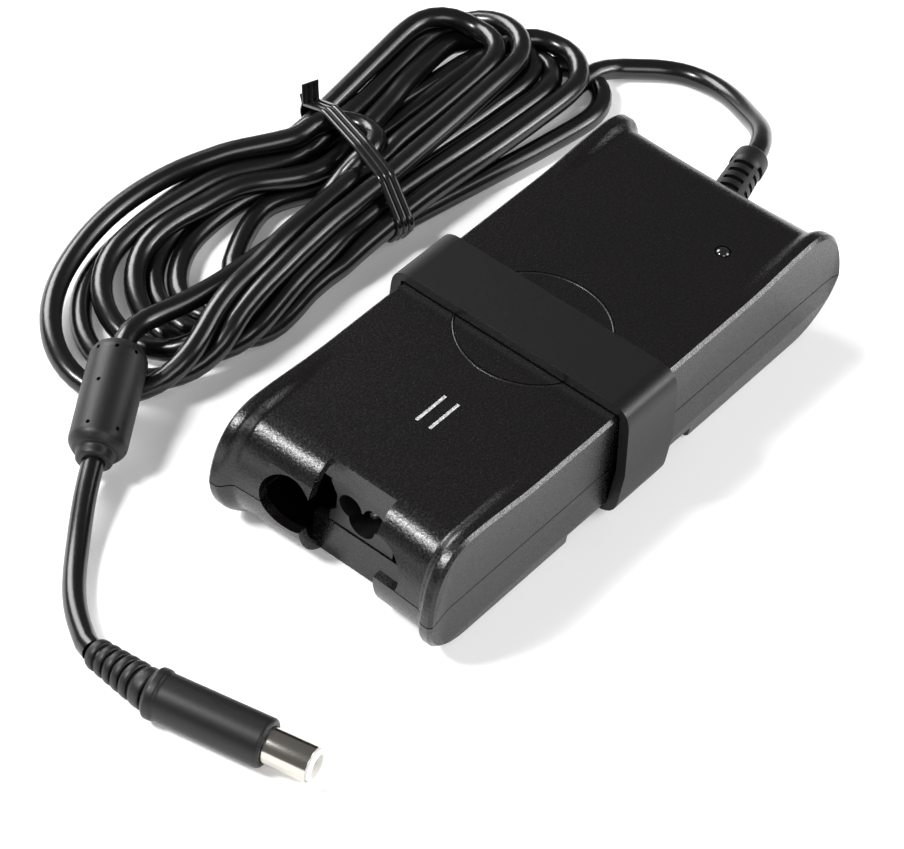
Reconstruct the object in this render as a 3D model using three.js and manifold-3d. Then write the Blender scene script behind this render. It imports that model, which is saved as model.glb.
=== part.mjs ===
// A laptop power adapter with its output cord, tied in a hank, as an assembly of separate pieces.
// Millimetres, +Z up. The case lies along X, with its mains inlet at -X and its output cord at +X,
// and rests on Z = 0. Each mesh is one physical piece and one closed solid.
import * as THREE from "three";
import { mergeVertices } from "three/addons/utils/BufferGeometryUtils.js";
import Module from "manifold-3d";

const wasm = await Module();
wasm.setup();

// ---- Driving dimensions ---------------------------------------------------------------------------

const GAP = 0.3; // between pieces that meet
const FINEST = 0.01; // joins and cuts merge edges shorter than this
const FAR = 400; // reach of a tool that cuts right through

// Case
const CASE_LENGTH = 137.2; // over the cheeks
const CASE_WIDTH = 57.9; // at the parting line, where it is widest
const CASE_HEIGHT = 27.9; // of the flat top
const PARTING_Z = 13.2; // where the two shells meet
const WALL = 2.2;
const DRAFT_TOP = 0.9; // how far each side leans in from the parting line to the top
const DRAFT_BASE = 1.3; // and to the base
const CHEEK_WIDTH = 2.9; // of the raised rim along each side
const CHEEK_RISE = 1.4; // of the rims above the flat top, near the ends
const CHEEK_REACH = 2.3; // of the cheeks beyond the end face between them
const END_HOLLOW = 1.1; // depth of the hollow across each end face
const NOSE_LENGTH = 12.6; // from the tip of a cheek to where its top turns flat
const BASE_CURVE = 13.6; // from the tip of a cheek to where its base turns flat
const EDGE = 0.7; // bevel round the side faces

// Strap and its channel under the case
const STRAP_WIDTH = 16;
const STRAP_THICKNESS = 2.3;
const STRAP_CORNER = 4.8; // outer corner radius
const STRAP_X = -2.5; // centre of the strap at rest
const STRAP_TRAVEL = 12; // each way
const STRAP_PLAY = 0.35; // between the strap and the case
const CHANNEL_PLAY = 0.6; // between the strap and the ends of its channel, at full travel

// Mains inlet
const INLET_Y = -2; // centre of the inlet
const INLET_DEPTH = 17;
const INLET_HALF_WIDTH = 8.2;
const INLET_WAIST = 6.6; // half width beside the socket
const INLET_LOW_Z = 10.2;
const INLET_ROOF = 2; // over the socket
const SOCKET_DEPTH = 13;
const EAR_RADIUS = 2.9; // round the two upper pins
const CHIN_RADIUS = 3.3; // round the lower pin
const EAR_PITCH = 6.2; // between the two upper pins
const EAR_Z = 17;
const CHIN_Z = 14.1;
const PIN_RADIUS = 1.2;
const PIN_RECESS = 3.3; // from the inlet's face to the pins' tips
const PIN_TAIL = 4; // of each pin behind the inlet

// Opening in the end of the case round the inlet
const NOTCH_LENGTH = 10.9; // from the tip of the cheeks to the back of the notch
const NOTCH_HALF_WIDTH = 8.4;
const LOWER_NOTCH_HALF_WIDTH = 9.7;
const NOTCH_WALL = 1.8; // of the wall that closes the back of the notch
const SCOOP_RADIUS = 6.6;
const SCOOP_Y = 11.35; // each side of the middle
const SCOOP_Z = 16;
const BAY_LENGTH = 18.1; // from the tip of the cheeks to the wall behind the inlet's bay
const BULKHEAD = 1.5;

// Output side
const GLAND_Z = 15;
const GLAND_POCKET_LENGTH = 7.6; // from the tip of the cheeks to the back of the strain relief's pocket
const GLAND_POCKET_RADIUS = 5.4;
const GLAND_NECK_RADIUS = 3.4;
const GLAND_FLANGE_RADIUS = 5;
const GLAND_FLANGE = 2;
const GLAND_LENGTH = 23; // outside the case
const GLAND_ROOT_RADIUS = 4.4;
const GLAND_TIP_RADIUS = 3.4;
const GLAND_TURN = 14; // degrees that it leans towards +Y
const GLAND_SLOTS = 5; // in its top, and as many under it
const GLAND_SLOT_START = 6.4; // from its root
const GLAND_SLOT_PITCH = 3;
const GLAND_SLOT_WIDTH = 1.2;
const GLAND_WEB = 2.2; // from its axis to the bottom of a slot

// Indicator
const LED_SETBACK = 26.1; // from the tip of the cheeks
const LED_Y = -14.6;
const LENS_RADIUS = 1.5;
const LENS_FLANGE_RADIUS = 2.4;
const LED_RADIUS = 1.5;

// Marks on the top
const RING_RADIUS = 16.4;
const RING_X = -2.5;
const RING_WIDTH = 0.7;
const MARK_DEPTH = 0.35;
const BAR_LENGTH = 9.4;
const BAR_WIDTH = 0.9;
const BAR_SETBACK = 34.6; // from the tip of the cheeks
const BAR_YS = [0.8, -2.6];

// Board and shields
const BOARD_THICKNESS = 1.6;
const BOARD_PLAY = 1.2; // between the board and what it lies beside
const SOLDER_ROOM = 0.9; // under the board
const SHIELD_THICKNESS = 0.4;
const SHIELD_INSET = 2; // from the board's ends to the shields'
const SHIELD_CLEAR = 0.8; // between the upper shield and the ceiling
const HEADROOM = 0.8; // between the tallest components and the upper shield
const TRANSFORMER_Y = -3.4;
const TRANSFORMER_HALF_WIDTH = 9.5;
const COMPONENT_GAP = 1.3; // between the transformer and the row of round parts beside it
const POST_RADIUS = 2.4; // of the four posts that the board stands on
const POST_INSET_X = 5; // from the board's edges to the posts
const POST_INSET_Y = 4;
const SHEET_THICKNESS = 0.3;
const LEG = 0.3; // clearance of each component above the board
const HEATSINK_THICKNESS = 1.8;
const HEATSINK_INSET = 3.75; // from the board's edge to the middle of each heatsink
const PACKAGE_THICKNESS = 4.4; // of the transistor and the diode on the heatsinks

// Label
const LABEL_LENGTH = 34;
const LABEL_WIDTH = 44;
const LABEL_THICKNESS = 0.2;
const LABEL_SETBACK = 26.6; // from the tip of the cheeks to the label's middle

// Cord
const CORD_DIAMETER = 4.8;
const CORD_SIDES = 8;
const CORD_REST_Z = CORD_DIAMETER / 2 + 0.1;

// Ferrite bead
const FERRITE_COVER_RADIUS = 6.2;
const FERRITE_COVER_LENGTH = 26;
const FERRITE_COLLAR_RADIUS = 4;
const FERRITE_COLLAR = 2.4;
const FERRITE_CORE_RADIUS = 5;
const FERRITE_CORE_LENGTH = 21;
const CORD_PLAY = 0.3; // round the cord where it passes through a piece

// Plug
const PLUG_RADIUS = 5.35;
const PLUG_LENGTH = 26;
const PLUG_RELIEF_SETBACK = 1.8; // behind the plug body, which is turned from it
const PLUG_RELIEF_RADIUS = 4.1;
const PLUG_RELIEF_TIP_RADIUS = 3.3;
const PLUG_RELIEF_RIBS = 5;
const PLUG_RELIEF_GROOVE = 0.7; // depth between the ribs
const BARREL_RADIUS = 3.7;
const BARREL_LENGTH = 9.6; // outside the plug body
const BARREL_INSIDE = 8; // inside the plug body
const BARREL_WALL = 0.35;
const PLUG_BORE_RADIUS = 2.5;
const PLUG_FLOOR = 2; // of the insulator under the bore
const PLUG_LIP = 0.4; // from the barrel's tip to the bore's sleeve
const CENTRE_PIN_RADIUS = 0.35;

// Twist tie
const TIE_WIDTH = 4;
const TIE_THICKNESS = 0.9;
const TIE_HALF_WIDTH = 20.2; // across the hank
const TIE_X = 25; // where it goes round the hank
const TIE_Y = 70;

// ---- Sizes that follow ----------------------------------------------------------------------------

const HALF_LENGTH = CASE_LENGTH / 2;
const HALF_WIDTH = CASE_WIDTH / 2;
const NOTCH_BACK_X = -HALF_LENGTH + NOTCH_LENGTH;
const INLET_HIGH_Z = EAR_Z + EAR_RADIUS + INLET_ROOF;
const NOTCH_WALL_LOW_Z = INLET_HIGH_Z + GAP;
const INLET_FACE_X = NOTCH_BACK_X + GAP;
const BULKHEAD_X = -HALF_LENGTH + BAY_LENGTH;
const LED_X = HALF_LENGTH - LED_SETBACK;
const LABEL_X = HALF_LENGTH - LABEL_SETBACK;
const BAR_X = -HALF_LENGTH + BAR_SETBACK;
const GLAND_ROOT_X = HALF_LENGTH - GLAND_POCKET_LENGTH;
const GLAND_FLANGE_X = GLAND_ROOT_X - WALL - GLAND_FLANGE;
const GLAND_BOSS_X = GLAND_FLANGE_X - WALL;

// The stack under the board starts above the strap's channel.
const CHANNEL_DEPTH = STRAP_THICKNESS + 2 * STRAP_PLAY;
const LOWER_SHIELD_Z = CHANNEL_DEPTH + WALL + GAP;
const SHEET_Z = LOWER_SHIELD_Z + SHIELD_THICKNESS + GAP;
const BOARD_Z = SHEET_Z + SHEET_THICKNESS + SOLDER_ROOM;
const BOARD_TOP_Z = BOARD_Z + BOARD_THICKNESS;
const CEILING_Z = CASE_HEIGHT - WALL - SHIELD_CLEAR - SHIELD_THICKNESS;
const TALL = CEILING_Z - HEADROOM - BOARD_TOP_Z - LEG; // height of the tallest components

const BOARD_LOW_X = BULKHEAD_X + BULKHEAD + BOARD_PLAY;
const BOARD_HIGH_X = GLAND_BOSS_X - BOARD_PLAY;
const BOARD_X = (BOARD_LOW_X + BOARD_HIGH_X) / 2;
const BOARD_LENGTH = BOARD_HIGH_X - BOARD_LOW_X;
const BOARD_WIDTH = CASE_WIDTH - 2 * (WALL + DRAFT_BASE + BOARD_PLAY);
const HEATSINK_Y = -BOARD_WIDTH / 2 + HEATSINK_INSET;
const PACKAGE_Y = HEATSINK_Y + HEATSINK_THICKNESS / 2 + GAP + PACKAGE_THICKNESS / 2;

// The bulk capacitor and the line choke lie between the transformer and the shield's side.
const ROUND_LOW_Y = TRANSFORMER_Y + TRANSFORMER_HALF_WIDTH + 2 * COMPONENT_GAP;
const ROUND_HIGH_Y = BOARD_WIDTH / 2 - SHIELD_THICKNESS - HEADROOM;
const ROUND_RADIUS = Math.min(TALL, ROUND_HIGH_Y - ROUND_LOW_Y) / 2;
const ROUND_Y = ROUND_HIGH_Y - ROUND_RADIUS;

// ---- Finishes -------------------------------------------------------------------------------------

const FINISHES = {
  case_plastic: { color: 0x1e1c1e, roughness: 0.42, metalness: 0 },
  strap_rubber: { color: 0x232226, roughness: 0.62, metalness: 0 },
  soft_pvc: { color: 0x2a292c, roughness: 0.55, metalness: 0 },
  cord_pvc: { color: 0x1c1b1d, roughness: 0.3, metalness: 0 },
  inlet_plastic: { color: 0x19181a, roughness: 0.5, metalness: 0 },
  nickel: { color: 0xc9c3b4, roughness: 0.22, metalness: 1 },
  white_plastic: { color: 0xf0efec, roughness: 0.4, metalness: 0 },
  lens: { color: 0xc9d2c8, roughness: 0.15, metalness: 0 },
  label: { color: 0x9a9a98, roughness: 0.6, metalness: 0 },
  board: { color: 0x2f5a36, roughness: 0.6, metalness: 0 },
  steel: { color: 0xa9abad, roughness: 0.35, metalness: 1 },
  copper: { color: 0xa8622c, roughness: 0.35, metalness: 1 },
  ferrite: { color: 0x3a3a3c, roughness: 0.7, metalness: 0 },
  capacitor_sleeve: { color: 0x20242c, roughness: 0.4, metalness: 0 },
  film_yellow: { color: 0xc9a23a, roughness: 0.5, metalness: 0 },
  ceramic_blue: { color: 0x3c63a0, roughness: 0.5, metalness: 0 },
  epoxy: { color: 0x1a1a1c, roughness: 0.6, metalness: 0 },
  clear_sheet: { color: 0xd8d6cc, roughness: 0.3, metalness: 0 },
  fuse_glass: { color: 0xcfd4d2, roughness: 0.1, metalness: 0 },
  tie_pvc: { color: 0x1d1c1e, roughness: 0.35, metalness: 0 },
};

// ---- Solids: joining, cutting and placing ---------------------------------------------------------

// A closed geometry as a solid that can be joined and cut.
function solid(geometry) {
  const bare = geometry.index ? geometry.toNonIndexed() : geometry.clone();
  bare.deleteAttribute("normal");
  bare.deleteAttribute("uv");
  const merged = mergeVertices(bare, 1e-4);
  return new wasm.Manifold(
    new wasm.Mesh({
      numProp: 3,
      vertProperties: merged.attributes.position.array,
      triVerts: new Uint32Array(merged.index.array),
      tolerance: FINEST,
    }),
  );
}

function geometryOf(made) {
  const mesh = made.getMesh();
  const geometry = new THREE.BufferGeometry();
  geometry.setAttribute("position", new THREE.BufferAttribute(new Float32Array(mesh.vertProperties), 3));
  geometry.setIndex(new THREE.BufferAttribute(new Uint32Array(mesh.triVerts), 1));
  geometry.computeVertexNormals();
  return geometry;
}

const assembly = new THREE.Group();

function piece(name, shape, finish, parent = assembly) {
  const geometry = shape.isBufferGeometry ? shape : geometryOf(shape);
  const mesh = new THREE.Mesh(geometry, new THREE.MeshStandardMaterial(FINISHES[finish]));
  mesh.name = name;
  parent.add(mesh);
  return mesh;
}

// A box from its low corner to its high corner.
function box([x0, y0, z0], [x1, y1, z1]) {
  const geometry = new THREE.BoxGeometry(x1 - x0, y1 - y0, z1 - z0);
  return geometry.translate((x0 + x1) / 2, (y0 + y1) / 2, (z0 + z1) / 2);
}

// A cylinder along X, from x0 to x1, about the line at y, z.
function rodX(radius, x0, x1, y, z, sides = 24) {
  const geometry = new THREE.CylinderGeometry(radius, radius, x1 - x0, sides);
  return geometry.rotateZ(-Math.PI / 2).translate((x0 + x1) / 2, y, z);
}

// A cylinder along Z, from z0 to z1, about the line at x, y.
function rodZ(radius, z0, z1, x, y, sides = 20) {
  const geometry = new THREE.CylinderGeometry(radius, radius, z1 - z0, sides);
  return geometry.rotateX(Math.PI / 2).translate(x, y, (z0 + z1) / 2);
}

// A turned piece along +X, from its profile of [distance along, radius] pairs from axis to axis.
function turned(profile, sides = 24) {
  const points = profile.map(([along, radius]) => new THREE.Vector2(radius, along));
  return new THREE.LatheGeometry(points, sides).rotateZ(-Math.PI / 2);
}

// A turned sleeve along +X, from its profile of [distance along, radius] pairs: the bore, then the outside.
function sleeve(profile, sides = 24) {
  return turned([...profile, profile[0]].reverse(), sides);
}

// A solid through closed outlines of equal point counts, which follow one another along +Y.
function loft(outlines) {
  const count = outlines[0].length;
  const positions = outlines.flat().flatMap((point) => point.toArray());
  const triangles = [];
  for (let row = 0; row + 1 < outlines.length; row += 1) {
    for (let i = 0; i < count; i += 1) {
      const j = (i + 1) % count;
      const a = row * count + i;
      const b = row * count + j;
      triangles.push(a, a + count, b, b, a + count, b + count);
    }
  }
  const cap = (row) => {
    const flat = outlines[row].map((point) => new THREE.Vector2(point.x, point.z));
    return THREE.ShapeUtils.triangulateShape(flat, []).map((face) => face.map((i) => row * count + i));
  };
  cap(0).forEach(([a, b, c]) => triangles.push(a, b, c));
  cap(outlines.length - 1).forEach(([a, b, c]) => triangles.push(c, b, a));
  const geometry = new THREE.BufferGeometry();
  geometry.setAttribute("position", new THREE.BufferAttribute(new Float32Array(positions), 3));
  geometry.setIndex(triangles);
  return solid(geometry);
}

// An outline in the case's Y and Z, drawn out along +X from X = 0.
function alongX(outline, length, curveSegments = 4) {
  const turn = new THREE.Matrix4().makeBasis(
    new THREE.Vector3(0, 1, 0),
    new THREE.Vector3(0, 0, 1),
    new THREE.Vector3(1, 0, 0),
  );
  const settings = { depth: length, bevelEnabled: false, curveSegments };
  return new THREE.ExtrudeGeometry(outline, settings).applyMatrix4(turn);
}

const join = (first, ...others) => others.reduce((sum, other) => sum.add(other), first);
const cut = (first, ...others) => others.reduce((rest, other) => rest.subtract(other), first);

// ---- Case -----------------------------------------------------------------------------------------

const NOSE_STEPS = 12; // facets in each half of an end's outline

// Half width of the case at a height: the sides lean in from the parting line, up and down.
function halfWidthAt(z) {
  if (z > PARTING_Z) return HALF_WIDTH - (DRAFT_TOP * (z - PARTING_Z)) / (CASE_HEIGHT - PARTING_Z);
  return HALF_WIDTH - (DRAFT_BASE * (PARTING_Z - z)) / PARTING_Z;
}

// 0 over the middle of the case and 1 on its cheeks, smooth between them.
function cheekShare(y) {
  const inner = HALF_WIDTH - DRAFT_TOP - CHEEK_WIDTH;
  return THREE.MathUtils.smoothstep(Math.abs(y), inner - CHEEK_WIDTH / 2, inner + CHEEK_WIDTH / 2);
}

// Upper half outline of the +X end at a distance y from the middle: from the parting line over the nose
// to the start of the flat top. shrink moves it inwards. The inside has no cheeks, so a shrink of more
// than the edge's bevel leaves them out.
function noseCurves(y, shrink) {
  const share = shrink > EDGE ? 0 : cheekShare(y);
  const hollow = END_HOLLOW * (1 - (y / HALF_WIDTH) ** 2);
  const tip = HALF_LENGTH - (1 - share) * (CHEEK_REACH + hollow) - shrink;
  const top = CASE_HEIGHT + share * CHEEK_RISE - shrink;
  const flatX = HALF_LENGTH - NOSE_LENGTH;
  const flatBaseX = HALF_LENGTH - BASE_CURVE;
  const upper = new THREE.CubicBezierCurve(
    new THREE.Vector2(tip, PARTING_Z),
    new THREE.Vector2(tip - 0.4, THREE.MathUtils.lerp(PARTING_Z, top, 0.68)),
    new THREE.Vector2(THREE.MathUtils.lerp(tip, flatX, 0.42), top),
    new THREE.Vector2(flatX, top),
  );
  const lower = new THREE.CubicBezierCurve(
    new THREE.Vector2(flatBaseX, shrink),
    new THREE.Vector2(THREE.MathUtils.lerp(tip, flatBaseX, 0.42), shrink),
    new THREE.Vector2(tip - 0.2, THREE.MathUtils.lerp(shrink, PARTING_Z, 0.45)),
    new THREE.Vector2(tip, PARTING_Z),
  );
  return { upper: upper.getPoints(NOSE_STEPS), lower: lower.getPoints(NOSE_STEPS), top, share };
}

// One closed outline of the case in the plane at a distance y from the middle, counter-clockwise from -Y.
function caseOutline(y, shrink) {
  const { upper, lower, top, share } = noseCurves(y, shrink);
  const riseStart = 0.5 * HALF_LENGTH;
  const flatX = HALF_LENGTH - NOSE_LENGTH;
  const shoulder = [0.25, 0.5, 0.75, 1].map((step) => {
    const x = THREE.MathUtils.lerp(flatX, riseStart, step);
    const fade = THREE.MathUtils.smoothstep(x, riseStart, flatX);
    return new THREE.Vector2(x, top - share * CHEEK_RISE * (1 - fade));
  });
  const right = [...lower, ...upper.slice(1), ...shoulder];
  const left = right.map((point) => new THREE.Vector2(-point.x, point.y)).reverse();
  return [...right, ...left];
}

// The whole case as one solid, shrunk by a distance on every side. Its side faces are bevelled.
function caseBody(shrink) {
  const side = HALF_WIDTH - shrink;
  const bevel = shrink > 0 ? EDGE / 4 : EDGE;
  const inner = HALF_WIDTH - DRAFT_TOP - CHEEK_WIDTH;
  const cheekSteps = shrink > 0 ? [] : [-0.5, -0.25, 0, 0.25, 0.5];
  const cheek = cheekSteps.map((step) => inner + step * CHEEK_WIDTH);
  const middle = [0, 0.2, 0.4, 0.6].map((step) => step * HALF_WIDTH);
  const halfStations = [...middle, ...cheek, side - bevel, side];
  const stations = [...halfStations.slice(1).reverse().map((y) => -y), ...halfStations];
  const outlines = stations.map((y) => {
    const atSide = Math.abs(y) === side;
    const outline = caseOutline(y, shrink + (atSide ? bevel : 0));
    return outline.map((point) => {
      const lean = halfWidthAt(point.y) / HALF_WIDTH;
      return new THREE.Vector3(point.x, y * lean, point.y);
    });
  });
  return loft(outlines);
}

// The end opening: a notch over the inlet and a round scoop on each side of it.
function notchTool(halfWidth) {
  return solid(box([-FAR, INLET_Y - halfWidth, -FAR], [NOTCH_BACK_X, INLET_Y + halfWidth, FAR]));
}

function scoopTool(side) {
  return solid(rodX(SCOOP_RADIUS, -FAR, BULKHEAD_X - GAP, side * SCOOP_Y, SCOOP_Z, 48));
}

function upperShell(outer, inner) {
  const above = solid(box([-FAR, -FAR, PARTING_Z + GAP / 2], [FAR, FAR, FAR]));
  const within = caseBody(WALL / 2);
  const notchWall = solid(
    box(
      [NOTCH_BACK_X, INLET_Y - NOTCH_HALF_WIDTH - WALL, NOTCH_WALL_LOW_Z],
      [NOTCH_BACK_X + NOTCH_WALL, INLET_Y + NOTCH_HALF_WIDTH + WALL, FAR],
    ),
  );
  const bulkhead = cut(
    solid(box([BULKHEAD_X, -FAR, -FAR], [BULKHEAD_X + BULKHEAD, FAR, FAR])),
    solid(
      box(
        [-FAR, INLET_Y - INLET_HALF_WIDTH - GAP, -FAR],
        [FAR, INLET_Y + INLET_HALF_WIDTH + GAP, NOTCH_WALL_LOW_Z],
      ),
    ),
  );
  const shell = join(cut(outer, inner), join(notchWall, bulkhead, glandBoss()).intersect(within));
  return cut(
    shell.intersect(above),
    notchTool(NOTCH_HALF_WIDTH),
    scoopTool(1),
    scoopTool(-1),
    glandPocket(),
    solid(rodZ(LENS_RADIUS + GAP, 0, FAR, LED_X, LED_Y)),
    solid(rodZ(LENS_FLANGE_RADIUS + GAP, 0, CASE_HEIGHT - WALL / 2, LED_X, LED_Y)),
    ringTool(),
    ...BAR_YS.map(barTool),
  );
}

function lowerShell(outer, inner) {
  const below = solid(box([-FAR, -FAR, -FAR], [FAR, FAR, PARTING_Z - GAP / 2]));
  const within = caseBody(WALL / 2);
  const seat = solid(
    box(
      [NOTCH_BACK_X, INLET_Y - LOWER_NOTCH_HALF_WIDTH - WALL, 0],
      [NOTCH_BACK_X + WALL, INLET_Y + LOWER_NOTCH_HALF_WIDTH + WALL, INLET_LOW_Z - GAP],
    ),
  );
  const bulkhead = cut(
    solid(box([BULKHEAD_X, -FAR, -FAR], [BULKHEAD_X + BULKHEAD, FAR, FAR])),
    solid(
      box(
        [-FAR, INLET_Y - INLET_HALF_WIDTH - GAP, INLET_LOW_Z - GAP],
        [FAR, INLET_Y + INLET_HALF_WIDTH + GAP, FAR],
      ),
    ),
  );
  const channelHalf = STRAP_WIDTH / 2 + STRAP_TRAVEL + CHANNEL_PLAY;
  const channelFloor = solid(
    box(
      [STRAP_X - channelHalf - WALL, -FAR, 0],
      [STRAP_X + channelHalf + WALL, FAR, CHANNEL_DEPTH + WALL],
    ),
  );
  const channel = solid(
    box([STRAP_X - channelHalf, -FAR, -FAR], [STRAP_X + channelHalf, FAR, CHANNEL_DEPTH]),
  );
  const labelRecess = solid(
    box(
      [LABEL_X - LABEL_LENGTH / 2 - GAP, -LABEL_WIDTH / 2 - GAP, -FAR],
      [LABEL_X + LABEL_LENGTH / 2 + GAP, LABEL_WIDTH / 2 + GAP, LABEL_THICKNESS + GAP],
    ),
  );
  const posts = postPlaces().map(([x, y]) => solid(rodZ(POST_RADIUS, WALL / 2, BOARD_Z - GAP, x, y, 12)));
  const shell = join(
    cut(outer, inner),
    join(seat, bulkhead, channelFloor, glandBoss(), ...posts).intersect(within),
  );
  return cut(
    shell.intersect(below),
    notchTool(LOWER_NOTCH_HALF_WIDTH),
    scoopTool(1),
    channel,
    labelRecess,
    glandPocket(),
  );
}

// Where the board stands on the lower shell.
function postPlaces() {
  const x = BOARD_LENGTH / 2 - POST_INSET_X;
  const y = BOARD_WIDTH / 2 - POST_INSET_Y;
  return [-1, 1].flatMap((sx) => [-1, 1].map((sy) => [BOARD_X + sx * x, sy * y]));
}

function ringTool() {
  const z = CASE_HEIGHT - MARK_DEPTH;
  const outer = rodZ(RING_RADIUS + RING_WIDTH / 2, z, FAR, RING_X, 0, 48);
  const inner = rodZ(RING_RADIUS - RING_WIDTH / 2, z - 1, FAR + 1, RING_X, 0, 48);
  return cut(solid(outer), solid(inner));
}

function barTool(y) {
  return solid(
    box(
      [BAR_X - BAR_LENGTH / 2, y - BAR_WIDTH / 2, CASE_HEIGHT - MARK_DEPTH],
      [BAR_X + BAR_LENGTH / 2, y + BAR_WIDTH / 2, FAR],
    ),
  );
}

// The block inside the end of the case that holds the cord's strain relief, and the room cut in it.
function glandBoss() {
  const half = GLAND_POCKET_RADIUS + WALL;
  return solid(box([GLAND_BOSS_X, -half, 0], [FAR, half, FAR]));
}

function glandPocket() {
  const flangeRoom = [GLAND_FLANGE_X - GAP, GLAND_FLANGE_X + GLAND_FLANGE + GAP];
  return join(
    solid(rodX(GLAND_POCKET_RADIUS, GLAND_ROOT_X, FAR, 0, GLAND_Z)),
    solid(rodX(GLAND_NECK_RADIUS + GAP, GLAND_BOSS_X - 1, GLAND_ROOT_X + 1, 0, GLAND_Z)),
    solid(rodX(GLAND_FLANGE_RADIUS + GAP, ...flangeRoom, 0, GLAND_Z)),
  );
}

function ledLens() {
  const bottom = CASE_HEIGHT - WALL;
  const seat = CASE_HEIGHT - WALL / 2 - GAP;
  const dome = 0.7;
  const steps = 4;
  const profile = [
    [bottom, 0],
    [bottom, LENS_FLANGE_RADIUS],
    [seat, LENS_FLANGE_RADIUS],
    [seat, LENS_RADIUS],
  ];
  for (let i = 0; i <= steps; i += 1) {
    const turn = (i / steps) * (Math.PI / 2);
    profile.push([CASE_HEIGHT - 0.1 + dome * Math.sin(turn), LENS_RADIUS * Math.cos(turn)]);
  }
  return turned(profile, 20).rotateY(-Math.PI / 2).translate(LED_X, LED_Y, 0);
}

function buildCase() {
  const outer = caseBody(0);
  const inner = caseBody(WALL);
  piece("upper_shell", upperShell(outer, inner), "case_plastic");
  piece("lower_shell", lowerShell(outer, inner), "case_plastic");
  piece("led_lens", ledLens(), "lens");
  piece(
    "rating_label",
    box(
      [LABEL_X - LABEL_LENGTH / 2, -LABEL_WIDTH / 2, GAP / 3],
      [LABEL_X + LABEL_LENGTH / 2, LABEL_WIDTH / 2, GAP / 3 + LABEL_THICKNESS],
    ),
    "label",
  );
}

// ---- Strap ----------------------------------------------------------------------------------------

// Outline round the case's cross-section in Y and Z, a distance outside it, with corners of a radius.
function sectionOutline(outset, radius) {
  const top = CASE_HEIGHT + outset;
  const floor = STRAP_THICKNESS + STRAP_PLAY + 0.1 - outset;
  const middle = HALF_WIDTH + outset;
  const topY = HALF_WIDTH - DRAFT_TOP + outset;
  const floorY = HALF_WIDTH - DRAFT_BASE + outset;
  const corners = [
    [middle, PARTING_Z],
    [topY, top],
    [-topY, top],
    [-middle, PARTING_Z],
    [-floorY, floor],
    [floorY, floor],
  ];
  const radii = [0, radius, radius, 0, radius, radius];
  const shape = new THREE.Shape();
  corners.forEach(([y, z], i) => {
    const before = new THREE.Vector2(...corners[(i + 5) % 6]);
    const after = new THREE.Vector2(...corners[(i + 1) % 6]);
    const corner = new THREE.Vector2(y, z);
    const from = corner.clone().add(before.sub(corner).setLength(radii[i]));
    const to = corner.clone().add(after.sub(corner).setLength(radii[i]));
    if (i === 0) shape.moveTo(y, z);
    else if (radii[i] === 0) shape.lineTo(y, z);
    else {
      shape.lineTo(from.x, from.y);
      shape.quadraticCurveTo(y, z, to.x, to.y);
    }
  });
  return shape;
}

function buildStrap() {
  const shape = sectionOutline(STRAP_PLAY + STRAP_THICKNESS, STRAP_CORNER);
  shape.holes.push(sectionOutline(STRAP_PLAY, EDGE));
  const band = alongX(shape, STRAP_WIDTH, 6);
  piece("cord_strap", band.translate(STRAP_X - STRAP_WIDTH / 2, 0, 0), "strap_rubber");
}

// ---- Mains inlet ----------------------------------------------------------------------------------

// The pins' places as [name, y, z].
const PINS = [
  ["inlet_pin_line", INLET_Y + EAR_PITCH / 2, EAR_Z],
  ["inlet_pin_neutral", INLET_Y - EAR_PITCH / 2, EAR_Z],
  ["inlet_pin_earth", INLET_Y, CHIN_Z],
];

function inletOutline() {
  const waistHigh = EAR_Z + 1;
  const waistLow = CHIN_Z;
  const lipZ = INLET_LOW_Z + 2.4;
  const half = [
    [INLET_HALF_WIDTH, INLET_LOW_Z],
    [INLET_HALF_WIDTH, lipZ],
    [INLET_WAIST, waistLow],
    [INLET_WAIST, waistHigh],
    [INLET_HALF_WIDTH, INLET_HIGH_Z - 1],
    [INLET_HALF_WIDTH, INLET_HIGH_Z],
  ];
  const outline = [...half, ...half.map(([y, z]) => [-y, z]).reverse()];
  return new THREE.Shape(outline.map(([y, z]) => new THREE.Vector2(INLET_Y + y, z)));
}

function inletHousing() {
  const body = alongX(inletOutline(), INLET_DEPTH).translate(INLET_FACE_X, 0, 0);
  const socketBack = INLET_FACE_X + SOCKET_DEPTH;
  const lobes = PINS.map(([name, y, z]) => {
    const radius = name === "inlet_pin_earth" ? CHIN_RADIUS : EAR_RADIUS;
    return solid(rodX(radius, INLET_FACE_X - 1, socketBack, y, z, 20));
  });
  const holes = PINS.map(([, y, z]) => solid(rodX(PIN_RADIUS + GAP, socketBack - 1, FAR, y, z, 12)));
  return cut(solid(body), ...lobes, ...holes);
}

function buildInlet() {
  piece("inlet_housing", inletHousing(), "inlet_plastic");
  const tip = INLET_FACE_X + PIN_RECESS;
  const end = INLET_FACE_X + INLET_DEPTH + PIN_TAIL;
  PINS.forEach(([name, y, z]) => {
    const profile = [
      [0, 0],
      [0, 0.6 * PIN_RADIUS],
      [0.6 * PIN_RADIUS, PIN_RADIUS],
      [end - tip, PIN_RADIUS],
      [end - tip, 0],
    ];
    piece(name, turned(profile, 16).translate(tip, y, z), "nickel");
  });
}

// ---- Board, shields and components ----------------------------------------------------------------

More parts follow.
